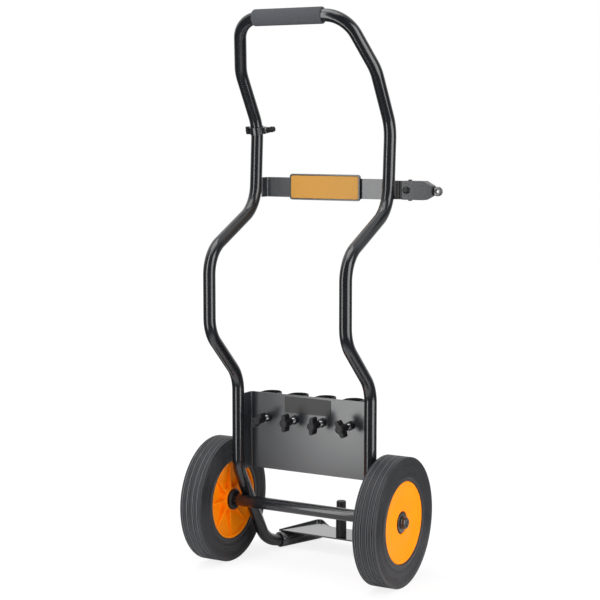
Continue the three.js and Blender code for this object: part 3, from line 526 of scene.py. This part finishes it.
def tyre_section():
    """The whole section, across the tread and back along both side walls."""
    wall = side_wall()
    tread = []
    for x in GROOVE_X:
        tread += [(WHEEL_RADIUS, x - GROOVE_HALF - GROOVE_LIP),
                  (WHEEL_RADIUS - GROOVE_LIP_DROP, x - GROOVE_HALF),
                  (WHEEL_RADIUS - GROOVE_DEPTH, x - GROOVE_HALF + 0.2, 0.4),
                  (WHEEL_RADIUS - GROOVE_DEPTH, x + GROOVE_HALF - 0.2, 0.4),
                  (WHEEL_RADIUS - GROOVE_LIP_DROP, x + GROOVE_HALF),
                  (WHEEL_RADIUS, x + GROOVE_HALF + GROOVE_LIP)]
    left = [(c[0], -c[1], *c[2:]) for c in wall]
    return rounded(left + tread + wall[::-1], 3)


for side, sign in (("left", -1), ("right", 1)):
    bm = bmesh.new()
    centre = at(sign * WHEEL_X, 0, WHEEL_RADIUS)
    closed_profile(bm, tyre_section(), centre, X * sign, Z, 144)
    for face in bm.faces:
        middle = face.calc_center_median() - centre
        below = WHEEL_RADIUS - middle.yz.length / MM
        # Faces on the groove lips, just below the tread, get the painted highlight.
        if abs(middle.x) < (TREAD_HALF - 1) * MM and below < GROOVE_LIP_DROP:
            face.material_index = TREAD_FACE if below < 0.1 else PAINTED_HIGHLIGHT_FACE
    tyre = piece(f"tyre_solid_{side}", bm, RUBBER, f"wheel_{side}",
                 [f"tyre_{side}"])
    tyre.data.materials.append(TREAD_RUBBER)
    tyre.data.materials.append(PAINTED_HIGHLIGHT_RUBBER)

# ---------------------------------------------------------------- rims
# Wheel centres moulded in orange plastic. The outer face is a smooth shallow dish with a recess
# for the hub's bush; on the inner side eight fins run from the boss and die out on a wide cone.

RIM_HALF = 23.5
RIM_R = BEAD_R - SEAT
CONE_HUB_X, CONE_RIM_X = -5, -15.5
BOSS_R = 23
BOSS_BORE_R = 16
BOSS_BACK_X = -21
RECESS_R = 22.5
BUSH_SEAT_X = 14.5
FINS = 8
FIN_HALF = 2.2
FIN_ROUND = 1.8
FIN_CREST_X = -17
FIN_SUNK = 4

ORANGE = finish_material(
    "rim_orange_plastic", (0.97, 0.24, 0.0), (1.0, 0.29, 0.001),
    roughness=0.5, grain=350, depth=0.06, drift=0.12, specular=0.1)

rim_section = rounded([
    (BOSS_BORE_R, BOSS_BACK_X), (BOSS_R, BOSS_BACK_X, 1.2), (BOSS_R + 2, CONE_HUB_X, 3),
    (BEAD_R - 6, CONE_RIM_X, 3), (BEAD_R - 4.5, -RIM_HALF + 1, 1), (BEAD_R - 3, -RIM_HALF, 0.5),
    (RIM_R, -RIM_HALF, 0.5), (RIM_R, RIM_HALF - 1.5, 0.5), (BEAD_R - 1.8, RIM_HALF, 0.6),
    (BEAD_R - 6, RIM_HALF, 1.5), (BEAD_R - 10, RIM_HALF - 2.2, 3),
    (BEAD_R - 30, RIM_HALF - 5.5, 12), (BOSS_R + 5, RIM_HALF - 4, 3),
    (RECESS_R, RIM_HALF - 4.5, 1.2), (RECESS_R, BUSH_SEAT_X), (BOSS_BORE_R, BUSH_SEAT_X),
], 5)


def fin(bm, centre, axis, out):
    """One fin of the rim's inner side: high at the boss, it runs out on the cone."""
    side = axis.cross(out)
    inner_r, outer_r = BOSS_R - 1, BEAD_R - 7
    corners = [(inner_r, FIN_CREST_X), (outer_r, CONE_RIM_X - 1.5),
               (outer_r, CONE_RIM_X + FIN_SUNK), (inner_r, CONE_HUB_X + FIN_SUNK)]
    face = bm.faces.new([
        bm.verts.new(centre + (out * r + axis * x - side * FIN_HALF) * MM) for r, x in corners])
    raised = bmesh.ops.extrude_face_region(bm, geom=[face])["geom"]
    verts = verts_in(raised)
    bmesh.ops.translate(bm, verts=verts, vec=side * 2 * FIN_HALF * MM)
    crest = [e for e in bm.edges if all(v in verts or v in face.verts for v in e.verts)
             and min((v.co - centre).dot(axis) for v in e.verts) < 0
             and abs((e.verts[0].co - e.verts[1].co).dot(side)) < 1e-6]
    bmesh.ops.bevel(bm, geom=crest, offset=FIN_ROUND * MM, segments=4, profile=0.5,
                    affect="EDGES", material=-1)


for side, sign in (("left", -1), ("right", 1)):
    centre = at(sign * WHEEL_X, 0, WHEEL_RADIUS)
    bm = bmesh.new()
    closed_profile(bm, rim_section, centre, X * sign, Z, 128)
    for i in range(FINS):
        out = Matrix.Rotation(2 * pi * i / FINS, 3, "X") @ Z
        fin(bm, centre, X * sign, out)
    piece(f"rim_moulded_{side}", bm, ORANGE, f"wheel_{side}", [f"rim_{side}"])

# ---------------------------------------------------------------- hubs and axle ends
# Each wheel turns on two flanged black plastic bushes, a long one from the inner side and a short
# one in the recess of the outer face; a plain steel washer and a pressed-on black cap hold it.

HUB_PLAY = 3
RUNNING_GAP = 0.4
FLANGE_R = BOSS_R - 1
BUSH_R = 22
WASHER_R = 19.7
CAP_R = 13

PLASTIC = finish_material(
    "black_plastic", (0.005, 0.005, 0.006), (0.01, 0.01, 0.0115),
    roughness=0.42, grain=500, depth=0.08, drift=0.15, specular=0.35)
DULL_STEEL = finish_material(
    "dull_steel", (0.13, 0.13, 0.135), (0.24, 0.235, 0.24),
    roughness=0.42, grain=700, depth=0.1, drift=0.25, metal=1.0)

for side, sign in (("left", -1), ("right", 1)):
    centre = at(0, 0, WHEEL_RADIUS)
    outward = X * sign
    bore = SHAFT_R + RUNNING_GAP
    flange_x = AXLE_TUBE_HALF + HUB_PLAY
    flange_back = WHEEL_X + BOSS_BACK_X - SEAT
    sleeve_r = BOSS_BORE_R - SEAT
    bm = bmesh.new()
    closed_profile(bm, rounded([
        (bore, flange_x), (FLANGE_R - 4, flange_x, 0.8), (FLANGE_R, flange_x + 2.5, 1),
        (FLANGE_R, flange_back, 0.5), (sleeve_r, flange_back), (sleeve_r, WHEEL_X - SEAT / 2),
        (bore, WHEEL_X - SEAT / 2),
    ]), centre, outward, Z, 64)
    piece(f"hub_inner_bush_{side}", bm, PLASTIC, f"wheel_{side}",
          [f"hub_sleeve_{side}"])
    bush_seat = WHEEL_X + BUSH_SEAT_X + SEAT
    bm = bmesh.new()
    closed_profile(bm, rounded([
        (bore, WHEEL_X + SEAT / 2), (sleeve_r, WHEEL_X + SEAT / 2), (sleeve_r, bush_seat),
        (BUSH_R, bush_seat, 0.4), (BUSH_R, HUB_OUTER_X, 0.8), (bore, HUB_OUTER_X),
    ]), centre, outward, Z, 64)
    piece(f"hub_outer_bush_{side}", bm, PLASTIC, f"wheel_{side}",
          [f"hub_bush_{side}"])
    washer_x = HUB_OUTER_X + SEAT
    bm = bmesh.new()
    closed_profile(bm, rounded([
        (SHAFT_R + SEAT, washer_x), (WASHER_R, washer_x, 0.5),
        (WASHER_R, washer_x + WASHER_THICK, 0.5), (SHAFT_R + SEAT, washer_x + WASHER_THICK),
    ]), centre, outward, Z, 64)
    piece(f"axle_plain_washer_{side}", bm, DULL_STEEL, "frame", [f"axle_washer_{side}"])
    cap_end = CAP_X + CAP_LENGTH
    dimple_x = cap_end - 1.3
    bm = bmesh.new()
    closed_profile(bm, rounded([
        (SHAFT_R + SEAT, CAP_X), (CAP_R, CAP_X, 0.5), (CAP_R, CAP_X + 2, 0.5),
        (CAP_R - 1, CAP_X + 2.8, 0.4), (CAP_R - 1, cap_end - 2, 1.4), (9.8, cap_end, 1),
        (7, cap_end, 0.5), (6, dimple_x, 0.5), (0, dimple_x), (0, cap_end - CAP_FLOOR),
        (SHAFT_R + SEAT, cap_end - CAP_FLOOR),
    ]), centre, outward, Z, 64)
    piece(f"axle_push_cap_{side}", bm, GLOSS_BLACK, "frame",
          [f"axle_cap_{side}"])

# ---------------------------------------------------------------- toe
# A steel plate welded on two sleeves that slip over the tube ends, all in black paint. Its slanted
# sides carry a low lip that rises towards the round far corners; a shallow notch lies between them.

TOE_NEAR_Y, TOE_FAR_Y = 138, 242
TOE_NEAR_HALF = 145
TOE_CORNER = 12
NOTCH_DEPTH = 26
NOTCH_HALF = 56
TOE_SHEET = 3
TOE_LIP = 5.5
LIP_START = 1.2
LIP_THICK = 2.5
LIP_ROOT = 0.2
LIP_FADE_FROM, LIP_FADE_OVER = 16, 24
CORNER_STEPS, NOTCH_STEPS = 8, 12
EDGE_ANGLE = 40
toe_under = 2 * SLEEVE_R + SEAT
toe_top = toe_under + TOE_SHEET

TOE_BLACK = finish_material(
    "toe_black_paint", (0.02, 0.021, 0.023), (0.03, 0.031, 0.034),
    roughness=0.2, grain=700, depth=0.03, drift=0.08, coat=1.0, specular=0.8)


def toe_side(y, inset=0.0):
    """How far from the middle the slanted side lies at y."""
    return TOE_NEAR_HALF - inset / cos(TOE_TAPER) - (y - TOE_NEAR_Y) * tan(TOE_TAPER)


def toe_outline(inset=0.0):
    """Half of the toe's outline, from the near edge round the corner to the notch."""
    far, notch = TOE_FAR_Y - inset, TOE_FAR_Y - NOTCH_DEPTH - inset
    radius = TOE_CORNER - inset
    corner_x = toe_side(far - radius, inset) - radius / cos(TOE_TAPER)
    points = [(toe_side(TOE_NEAR_Y, inset), TOE_NEAR_Y)]
    for k in range(CORNER_STEPS + 1):
        angle = TOE_TAPER + (pi / 2 - TOE_TAPER) * k / CORNER_STEPS
        points.append((corner_x + radius * cos(angle), far - radius + radius * sin(angle)))
    for k in range(1, NOTCH_STEPS + 1):
        t = k / NOTCH_STEPS
        ease = t * t * (3 - 2 * t)
        points.append((corner_x + (NOTCH_HALF - corner_x) * t, far + (notch - far) * ease))
    return points


def toe_lip_height(x, y):
    """The lip's height at a point of the outline; it dies out along the notch."""
    rise = LIP_START + (TOE_LIP - LIP_START) * (y - TOE_NEAR_Y) / (TOE_FAR_Y - TOE_NEAR_Y)
    fade = min(1.0, max(0.0, (abs(x) - NOTCH_HALF - LIP_FADE_FROM) / LIP_FADE_OVER))
    return rise * fade


bm = bmesh.new()
half = toe_outline()
outline = half + [(-x, y) for x, y in reversed(half)]
face = bm.faces.new([bm.verts.new(at(x, y, toe_under)) for x, y in outline])
top = bmesh.ops.extrude_face_region(bm, geom=[face])["geom"]
bmesh.ops.translate(bm, verts=verts_in(top), vec=Z * TOE_SHEET * MM)
for sign in (-1, 1):
    outer = [(sign * x, y) for x, y in half]
    inner = [(sign * x, y) for x, y in toe_outline(LIP_THICK)]
    bottom = [bm.verts.new(at(x, y, toe_top - LIP_ROOT)) for x, y in outer + inner[::-1]]
    lip = bm.faces.new(bottom)
    raised = bmesh.ops.extrude_face_region(bm, geom=[lip])["geom"]
    for vert in verts_in(raised):
        x, y = (vert.co.x - AXLE_X) / MM, (vert.co.y - AXLE_Y) / MM
        vert.co.z += (toe_lip_height(x, y) + LIP_ROOT) * MM
toe_piece = piece("toe_pressed_plate", bm, TOE_BLACK, "frame", ["toe_plate"])
toe_edges = toe_piece.modifiers.new("soften", "BEVEL")
toe_edges.width = 0.5 * MM
toe_edges.segments = 2
toe_edges.limit_method = "ANGLE"
toe_edges.angle_limit = radians(EDGE_ANGLE)

SLEEVE_NEAR_Y, SLEEVE_FAR_Y = 131, 238
SLEEVE_BORE_R = TUBE_R + 0.6
sleeve_length = (SLEEVE_FAR_Y - SLEEVE_NEAR_Y) / cos(TOE_TAPER)
for side, sign in (("left", -1), ("right", 1)):
    along = Vector((-sign * sin(TOE_TAPER), cos(TOE_TAPER), 0))
    bm = bmesh.new()
    closed_profile(bm, rounded([
        (SLEEVE_BORE_R, 0), (SLEEVE_R, 0, 0.8), (SLEEVE_R, sleeve_length, 0.8),
        (SLEEVE_BORE_R, sleeve_length),
    ]), at(sign * toe_x(SLEEVE_NEAR_Y), SLEEVE_NEAR_Y, SLEEVE_R), along, Z)
    piece(f"toe_tube_sleeve_{side}", bm, TOE_BLACK, "frame", [f"toe_sleeve_{side}"])

# ---------------------------------------------------------------- locating post
# A black plastic post screwed upright to the toe plate, a little slimmer at the top, with a
# chamfered end: the tool's lower end drops over it.

POST_Y, POST_TOP_Z = 152, 115
POST_R, POST_NECK_R = 11.2, 10.2
post_foot = toe_top + SEAT
bm = bmesh.new()
closed_profile(bm, rounded([
    (0, post_foot), (POST_R, post_foot, 0.6), (POST_R, POST_TOP_Z - 22, 0.8),
    (POST_NECK_R, POST_TOP_Z - 19, 0.6), (POST_NECK_R, POST_TOP_Z - 1.5, 1),
    (POST_NECK_R - 1.5, POST_TOP_Z, 0.6), (0, POST_TOP_Z),
]), at(0, POST_Y, 0), Z, X, 64)
piece("toe_locating_post", bm, PLASTIC, "frame", ["locating_post"])

# ---------------------------------------------------------------- tool plate
# A sheet of 3 mm steel between the lower uprights, painted satin grey, its sides folded forward
# and welded to the tubes. Four holes let the clamp screws through.

PLATE_HALF = 144.6
PLATE_Y = 20
PLATE_BOTTOM_Z, PLATE_TOP_Z = 199.5, 359
SHEET = 3
FOLD_R = 4
PLATE_CORNER = 5
FLANGE_END = 6.1
HOLDER_PITCH, HOLDER_SHIFT = 64, -6
HOLDER_X = [HOLDER_SHIFT + (i - 1.5) * HOLDER_PITCH for i in range(4)]
CLAMP_Z = 308
STUD_HOLE_R = 5.6

SATIN_GREY = finish_material(
    "satin_grey_powder", (0.015, 0.0165, 0.0195), (0.022, 0.024, 0.028),
    roughness=0.29, grain=650, depth=0.01, drift=0.06, specular=1.0)


def tube_y(z):
    """Where the lower upright's centre line runs, down to its bend at the shin."""
    bend_z = leg_top_z + LEG_BEND_R * tan(LEG_SLANT / 2)
    if z >= bend_z:
        return LOWER_Y
    return LOWER_Y + LEG_BEND_R - (LEG_BEND_R ** 2 - (bend_z - z) ** 2) ** 0.5


def folded_sheet(bm, half, face_y, levels, front, holes=()):
    """One layer of sheet: a face with holes, folded forward at both ends to front(z)."""
    flat = half - SHEET - FOLD_R
    left = [bm.verts.new(at(-flat, face_y, z)) for z in levels]
    right = [bm.verts.new(at(flat, face_y, z)) for z in levels]
    sides = [[bm.edges.new(pair) for pair in zip(run, run[1:])] for run in (left, right)]
    rim = [bm.edges.new((left[0], right[0])), bm.edges.new((left[-1], right[-1]))]
    for x, z, r in holes:
        upright = Matrix.Translation(at(x, face_y, z)) @ Matrix.Rotation(pi / 2, 4, "X")
        rim += ring(bm, upright, r, 32)
    bmesh.ops.triangle_fill(bm, use_beauty=True, edges=sides[0] + sides[1] + rim)
    for sign, edges in ((-1, sides[0]), (1, sides[1])):
        bent = bmesh.ops.spin(
            bm, geom=edges, cent=at(sign * flat, face_y - FOLD_R, 0), axis=Z * -sign,
            angle=pi / 2, steps=6, use_merge=False)["geom_last"]
        flange = bmesh.ops.extrude_edge_only(bm, edges=edges_in(bent))["geom"]
        for vert in verts_in(flange):
            vert.co.y = at(0, front(vert.co.z / MM), 0).y


def plate_front(z):
    """The flange ends on the tube, with its corners rounded off."""
    on_tube = tube_y(z) + FLANGE_END
    nearest = max(0.0, min(z - PLATE_BOTTOM_Z, PLATE_TOP_Z - z))
    if nearest >= PLATE_CORNER:
        return on_tube
    drop = PLATE_CORNER - (PLATE_CORNER ** 2 - (PLATE_CORNER - nearest) ** 2) ** 0.5
    return max(on_tube, LOWER_Y + FLANGE_END - SEAT + drop)


def soften(made, width, segments=2, angle=SHARP_ANGLE):
    """Rounds a piece's edges a little, as paint or moulding does, and keeps its flats flat."""
    soft = made.modifiers.new("soften", "BEVEL")
    soft.width = width * MM
    soft.segments = segments
    soft.limit_method = "ANGLE"
    soft.angle_limit = radians(angle)
    flats = made.modifiers.new("flats", "WEIGHTED_NORMAL")
    flats.keep_sharp = True


def thicken(made, thickness, inside, edge):
    """Gives a single layer its thickness on the side where inside lies, and softens its edges."""
    widest = max(made.data.polygons, key=lambda f: f.area)
    solid = made.modifiers.new("thickness", "SOLIDIFY")
    solid.thickness = thickness * MM
    solid.offset = 1 if (inside - widest.center).dot(widest.normal) > 0 else -1
    solid.use_even_offset = True
    soften(made, edge, angle=EDGE_ANGLE)


bm = bmesh.new()
corner_levels = (0, 0.4, 1.3, 2.8, PLATE_CORNER)
bend_levels = [208, 212, 216, 220, 280]
levels = [PLATE_BOTTOM_Z + h for h in corner_levels] + bend_levels
levels += [PLATE_TOP_Z - h for h in reversed(corner_levels)]
folded_sheet(bm, PLATE_HALF, PLATE_Y, levels, plate_front,
             [(x, CLAMP_Z, STUD_HOLE_R) for x in HOLDER_X])
plate = piece("tool_plate_folded", bm, SATIN_GREY, "frame", ["tool_plate"])
thicken(plate, SHEET, at(0, 200, 280), 0.4)

# ---------------------------------------------------------------- rating label
# A thin dark plastic plate with round corners, stuck to the tool plate above the clamps. Its face
# is left bare.

LABEL_W, LABEL_H, LABEL_CORNER, LABEL_THICK = 107, 33, 2, 0.8
LABEL_X, LABEL_Z = -8, 338.5

LABEL_GREY = finish_material(
    "label_grey_film", (0.022, 0.021, 0.02), (0.03, 0.029, 0.028),
    roughness=0.45, grain=900, depth=0.02, drift=0.08)


def round_corners(width, height, radius, steps=6):
    """The outline of a rectangle with round corners, as (across, up) points."""
    w, h = width / 2, height / 2
    return rounded([(w, h, radius), (-w, h, radius), (-w, -h, radius), (w, -h, radius)], steps)


def pushed_outline(bm, outline, place, across, up, depth):
    """Fills an outline, given as (across, up) points, and pushes it out by depth."""
    face = bm.faces.new([bm.verts.new(place + (across * a + up * b) * MM) for a, b in outline])
    raised = bmesh.ops.extrude_face_region(bm, geom=[face])["geom"]
    bmesh.ops.translate(bm, verts=verts_in(raised), vec=depth * MM)


bm = bmesh.new()
pushed_outline(bm, round_corners(LABEL_W, LABEL_H, LABEL_CORNER),
               at(LABEL_X, PLATE_Y - SEAT, LABEL_Z), X, Z, Y * -LABEL_THICK)
soften(piece("rating_label_bare", bm, LABEL_GREY, "frame", ["rating_label"]), 0.2)

# ---------------------------------------------------------------- chisel holders
# Four channels of bent sheet with a round back, welded by their open side to the plate, each with
# a floor that has a drain hole. A chisel's shank stands in each.

HOLDER_BLACK = finish_material(
    "holder_black_paint", (0.005, 0.0055, 0.006), (0.009, 0.0095, 0.01),
    roughness=0.5, grain=700, depth=0.05, drift=0.1, specular=0.3)

HOLDER_HALF = 20.5
HOLDER_STRAIGHT = 13
HOLDER_WALL = 2.6
HOLDER_LENGTH = 150
DRAIN_R = 5


def round_back(half, steps=24):
    """A holder's plan: from the plate round the back to the plate again."""
    arc = [(half * cos(pi * k / steps), HOLDER_STRAIGHT + half * sin(pi * k / steps))
           for k in range(steps + 1)]
    return [(half, 0)] + arc + [(-half, 0)]


for i, x in enumerate(HOLDER_X, 1):
    foot = at(x, PLATE_Y + SHEET + SEAT, PLATE_TOP_Z - HOLDER_LENGTH)
    inner = round_back(HOLDER_HALF - HOLDER_WALL)
    bm = bmesh.new()
    pushed_outline(bm, round_back(HOLDER_HALF) + inner[::-1], foot, X, Y, Z * HOLDER_LENGTH)
    floor_verts = [bm.verts.new(foot + Vector((a, b, 0)) * MM) for a, b in inner]
    floor_rim = [bm.edges.new(pair) for pair in zip(floor_verts, floor_verts[1:] + floor_verts[:1])]
    floor_rim += ring(bm, Matrix.Translation(foot + Y * HOLDER_STRAIGHT * MM), DRAIN_R, 24)
    filled = bmesh.ops.triangle_fill(bm, use_beauty=True, edges=floor_rim)["geom"]
    raised = bmesh.ops.extrude_face_region(
        bm, geom=[g for g in filled if isinstance(g, bmesh.types.BMFace)])["geom"]
    bmesh.ops.translate(bm, verts=verts_in(raised), vec=Z * HOLDER_WALL * MM)
    soften(piece(f"chisel_channel_{i}", bm, HOLDER_BLACK, "frame",
                 [f"chisel_holder_{i}"]), 0.4)

# ---------------------------------------------------------------- clamps
# A hexagon nut on the plate's face, a threaded zinc stud through it with a plastic pad at its tip,
# and a moulded wing knob: round hub, flat face and two wings.

STUD_R = 4.8
NUT_R = 9.8
NUT_LENGTH = 5
NUT_FRONT_Y = PLATE_Y - SEAT - NUT_LENGTH
KNOB_FACE_Y = -30
KNOB_R = 8.3
KNOB_LENGTH = 33
KNOB_FLOOR = 12
WING_SET, WING_LENGTH = 1.5, 19.5
PAD_Y, PAD_LENGTH = PLATE_Y + SHEET + 1, 4
KNOB_TURNS = (35, -1, 2, -26)
THREAD_PITCH, THREAD_DEPTH = 1.5, 0.9
THREAD_STEPS = 24
WING_OUTLINE = rounded([
    (-5.5, 0), (-4, 14), (-4, 18, 3.9), (4, 18, 3.9), (4, 14), (5.5, 0),
    (4, -14), (4, -18, 3.9), (-4, -18, 3.9), (-4, -14),
], 5)


def threaded_rod(bm, start, axis, out, length, radius, pitch):
    """A rod with one continuous thread, spun up along its axis."""
    root = radius - THREAD_DEPTH
    closed_profile(bm, [(0, 0), (root, 0), (root, length), (0, length)], start, axis, out, 32)
    profile = [(root - 0.05, 0), (radius - 0.15, 0.42 * pitch), (radius - 0.15, 0.58 * pitch),
               (root - 0.05, pitch)]
    verts = [bm.verts.new(start + (out * r + axis * a) * MM) for r, a in profile]
    edges = [bm.edges.new(pair) for pair in zip(verts, verts[1:])]
    turns = int(length / pitch) - 1
    bmesh.ops.spin(bm, geom=verts + edges, cent=start, axis=axis, angle=2 * pi * turns,
                   steps=THREAD_STEPS * turns, dvec=axis * pitch * MM / THREAD_STEPS,
                   use_merge=False)


for i, (x, turned) in enumerate(zip(HOLDER_X, KNOB_TURNS), 1):
    bm = bmesh.new()
    nut_bore = STUD_R + RUNNING_GAP
    closed_profile(bm, [(nut_bore, 0), (NUT_R - 0.6, 0), (NUT_R, 0.6), (NUT_R, NUT_LENGTH),
                        (nut_bore, NUT_LENGTH)], at(x, NUT_FRONT_Y, CLAMP_Z), Y, Z, 6)
    soften(piece(f"clamp_hex_nut_{i}", bm, PLASTIC, "frame",
                 [f"clamp_nut_{i}"]), 0.3)
    bm = bmesh.new()
    stud_start = KNOB_FACE_Y + KNOB_FLOOR + SEAT
    threaded_rod(bm, at(x, stud_start, CLAMP_Z), Y, Z, PAD_Y - SEAT - stud_start, STUD_R,
                 THREAD_PITCH)
    piece(f"clamp_threaded_stud_{i}", bm, ZINC, f"screw_{i}", [f"clamp_stud_{i}"])
    bm = bmesh.new()
    closed_profile(bm, rounded([(0, 0), (STUD_R, 0, 0.5), (STUD_R, PAD_LENGTH, 0.8),
                                (0, PAD_LENGTH)]), at(x, PAD_Y, CLAMP_Z), Y, Z, 32)
    piece(f"clamp_tip_pad_{i}", bm, PLASTIC, f"pad_{i}", [f"clamp_pad_{i}"])
    bm = bmesh.new()
    face = at(x, KNOB_FACE_Y, CLAMP_Z)
    closed_profile(bm, rounded([
        (0, 0.6), (5.2, 0.6, 0.5), (5.8, 0, 0.4), (KNOB_R, 0, 1), (KNOB_R, KNOB_LENGTH - 6, 1),
        (KNOB_R - 2, KNOB_LENGTH, 1), (STUD_R + SEAT, KNOB_LENGTH, 0.3),
        (STUD_R + SEAT, KNOB_FLOOR), (0, KNOB_FLOOR),
    ]), face, Y, Z, 48)
    lean = radians(turned)
    across = Vector((cos(lean), 0, -sin(lean)))
    up = Vector((sin(lean), 0, cos(lean)))
    pushed_outline(bm, WING_OUTLINE, face + Y * WING_SET * MM, across, up, Y * WING_LENGTH)
    knob = piece(f"clamp_wing_knob_{i}", bm, PLASTIC, f"screw_{i}",
                 [f"clamp_knob_{i}"])
    soften(knob, 1.1, 3)

# ---------------------------------------------------------------- cross strap
# A strap of the same grey sheet between the uprights, its ends folded forward and welded to them.
# The tool's body leans against its back.

STRAP_Y = 80
STRAP_HALF = 140.2
STRAP_BOTTOM_Z, STRAP_Z, STRAP_TOP_Z = 760.5, 781, 801
STRAP_FRONT_Y = 59
bm = bmesh.new()
folded_sheet(bm, STRAP_HALF, STRAP_Y, [STRAP_BOTTOM_Z, STRAP_Z, STRAP_TOP_Z],
             lambda z: STRAP_FRONT_Y)
strap = piece("cross_strap_folded", bm, SATIN_GREY, "frame", ["cross_strap"])
thicken(strap, SHEET, at(0, 200, STRAP_Z), 0.4)

# ---------------------------------------------------------------- badge
# A grey moulded frame on the strap's face, with a plain orange panel let into it. The panel is
# bare and a little duller than the frame.

BADGE_W, BADGE_H, BADGE_BORDER, BADGE_Z = 162, 53, 3.2, 782.4
BADGE_THICK, BADGE_CORNER, RECESS = 6, 6, 1.2
PANEL_W = BADGE_W - 2 * (BADGE_BORDER + SEAT)
PANEL_H = BADGE_H - 2 * (BADGE_BORDER + SEAT)
PANEL_THICK, PANEL_CORNER = 1.1, 3.7
BADGE_ORANGE = finish_material(
    "badge_orange", (0.42, 0.2, 0.024), (0.48, 0.23, 0.03),
    roughness=0.4, grain=900, depth=0.01, drift=0.08, specular=0.3)
bm = bmesh.new()
badge_back = at(0, STRAP_Y - SEAT, BADGE_Z)
pushed_outline(bm, round_corners(BADGE_W, BADGE_H, BADGE_CORNER, 8), badge_back, X, Z,
               Y * -BADGE_THICK)
bm.normal_update()
front = min(bm.faces, key=lambda f: f.calc_center_median().y)
bmesh.ops.inset_region(bm, faces=[front], thickness=BADGE_BORDER * MM, use_even_offset=True)
sunk = bmesh.ops.extrude_face_region(bm, geom=[front])["geom"]
bmesh.ops.translate(bm, verts=verts_in(sunk), vec=Y * RECESS * MM)
bmesh.ops.delete(bm, geom=[front], context="FACES_ONLY")
soften(piece("badge_surround", bm, SATIN_GREY, "frame", ["badge_frame"]), 0.8, 3)

panel_back = badge_back - Y * (BADGE_THICK - RECESS + SEAT) * MM
bm = bmesh.new()
pushed_outline(bm, round_corners(PANEL_W, PANEL_H, PANEL_CORNER, 8), panel_back, X, Z,
               Y * -PANEL_THICK)
soften(piece("badge_plain_panel", bm, BADGE_ORANGE, "frame", ["badge_panel"]), 0.35)

# ---------------------------------------------------------------- retaining arm
# A moulded bracket clamped to the right-hand upright carries a pin. A pressed channel in duller
# grey swings on it, with a plastic button on its face, and a collar and a steel eye at its end.

HINGE_X, HINGE_Y = 197, 66
ARM_Z = 781
ARM_TIP_X, ARM_TIP_Y = 249.5, HINGE_Y - 7
ARM_FRONT_Y = 53
PIN_R, PIN_BOTTOM_Z, PIN_TOP_Z = 4, 760, 802
BUTTON_R, BUTTON_STEM_R = 7, 3
COLLAR_R, COLLAR_THICK = 9, 2
EYE_R, EYE_HOLE_R, EYE_HALF, EYE_SUNK = 9.2, 3.4, 4, 1.6
JOIN_WITHIN = 0.01

ARM_GREY = finish_material(
    "arm_grey_powder", (0.016, 0.0175, 0.02), (0.024, 0.026, 0.03),
    roughness=0.36, grain=650, depth=0.02, drift=0.08, specular=0.65)


def carried(node, material, edge):
    """Keeps a CAD node's shape, its triangles joined, its edges softened, in its own material."""
    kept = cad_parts[node]
    for slot in kept.material_slots:
        slot.material = material
    joined = kept.modifiers.new("joined", "WELD")
    joined.merge_threshold = JOIN_WITHIN * MM
    soften(kept, edge)


carried("arm_bracket", PLASTIC, 0.7)
carried("retaining_arm", ARM_GREY, 0.5)

bm = bmesh.new()
closed_profile(bm, rounded([
    (0, PIN_BOTTOM_Z), (PIN_R, PIN_BOTTOM_Z, 0.8), (PIN_R, PIN_TOP_Z, 1.2), (0, PIN_TOP_Z),
]), at(HINGE_X, HINGE_Y, 0), Z, X, 40)
piece("arm_hinge_pin", bm, GLOSS_BLACK, "frame", ["arm_pin"])

bm = bmesh.new()
closed_profile(bm, rounded([
    (0, -4.3), (4.5, -4.3, 1.5), (BUTTON_R, -2.7, 1), (BUTTON_R, -SEAT, 0.3),
    (BUTTON_STEM_R, -SEAT), (BUTTON_STEM_R, 3), (0, 3),
]), at(HINGE_X - 2.5, ARM_FRONT_Y, ARM_Z + 0.5), Y, Z, 48)
piece("arm_push_button", bm, PLASTIC, "arm", ["arm_button"])

collar_x = ARM_TIP_X + SEAT
collar_end = collar_x + COLLAR_THICK
bm = bmesh.new()
closed_profile(bm, rounded([
    (0, collar_x), (COLLAR_R, collar_x, 0.5), (COLLAR_R, collar_end, 0.5), (0, collar_end),
]), at(0, ARM_TIP_Y, ARM_Z), X, Z, 48)
piece("arm_tip_collar", bm, PLASTIC, "arm", ["arm_collar"])

eye_x = collar_end + SEAT + EYE_R - EYE_SUNK
bm = bmesh.new()
closed_profile(bm, rounded([
    (EYE_HOLE_R, -EYE_HALF, 1.4), (EYE_R, -EYE_HALF, 1.6), (EYE_R, EYE_HALF, 1.6),
    (EYE_HOLE_R, EYE_HALF, 1.4),
], 6), at(eye_x, ARM_TIP_Y, ARM_Z - 1), Y, Z, 64)
piece("arm_cord_eye", bm, DULL_STEEL, "arm", ["arm_eye"])

# ---------------------------------------------------------------- cord clip
# Two black half shells clamped round the left-hand upright by a screw, with a ribbed plastic peg
# on the other side, where an elastic cord would be hooked.

carried("clip_front", GLOSS_BLACK, 0.6)
carried("clip_rear", GLOSS_BLACK, 0.6)
carried("clip_screw", PLASTIC, 0.4)
carried("peg_washer", ZINC, 0.3)
carried("cord_peg", PLASTIC, 0.5)
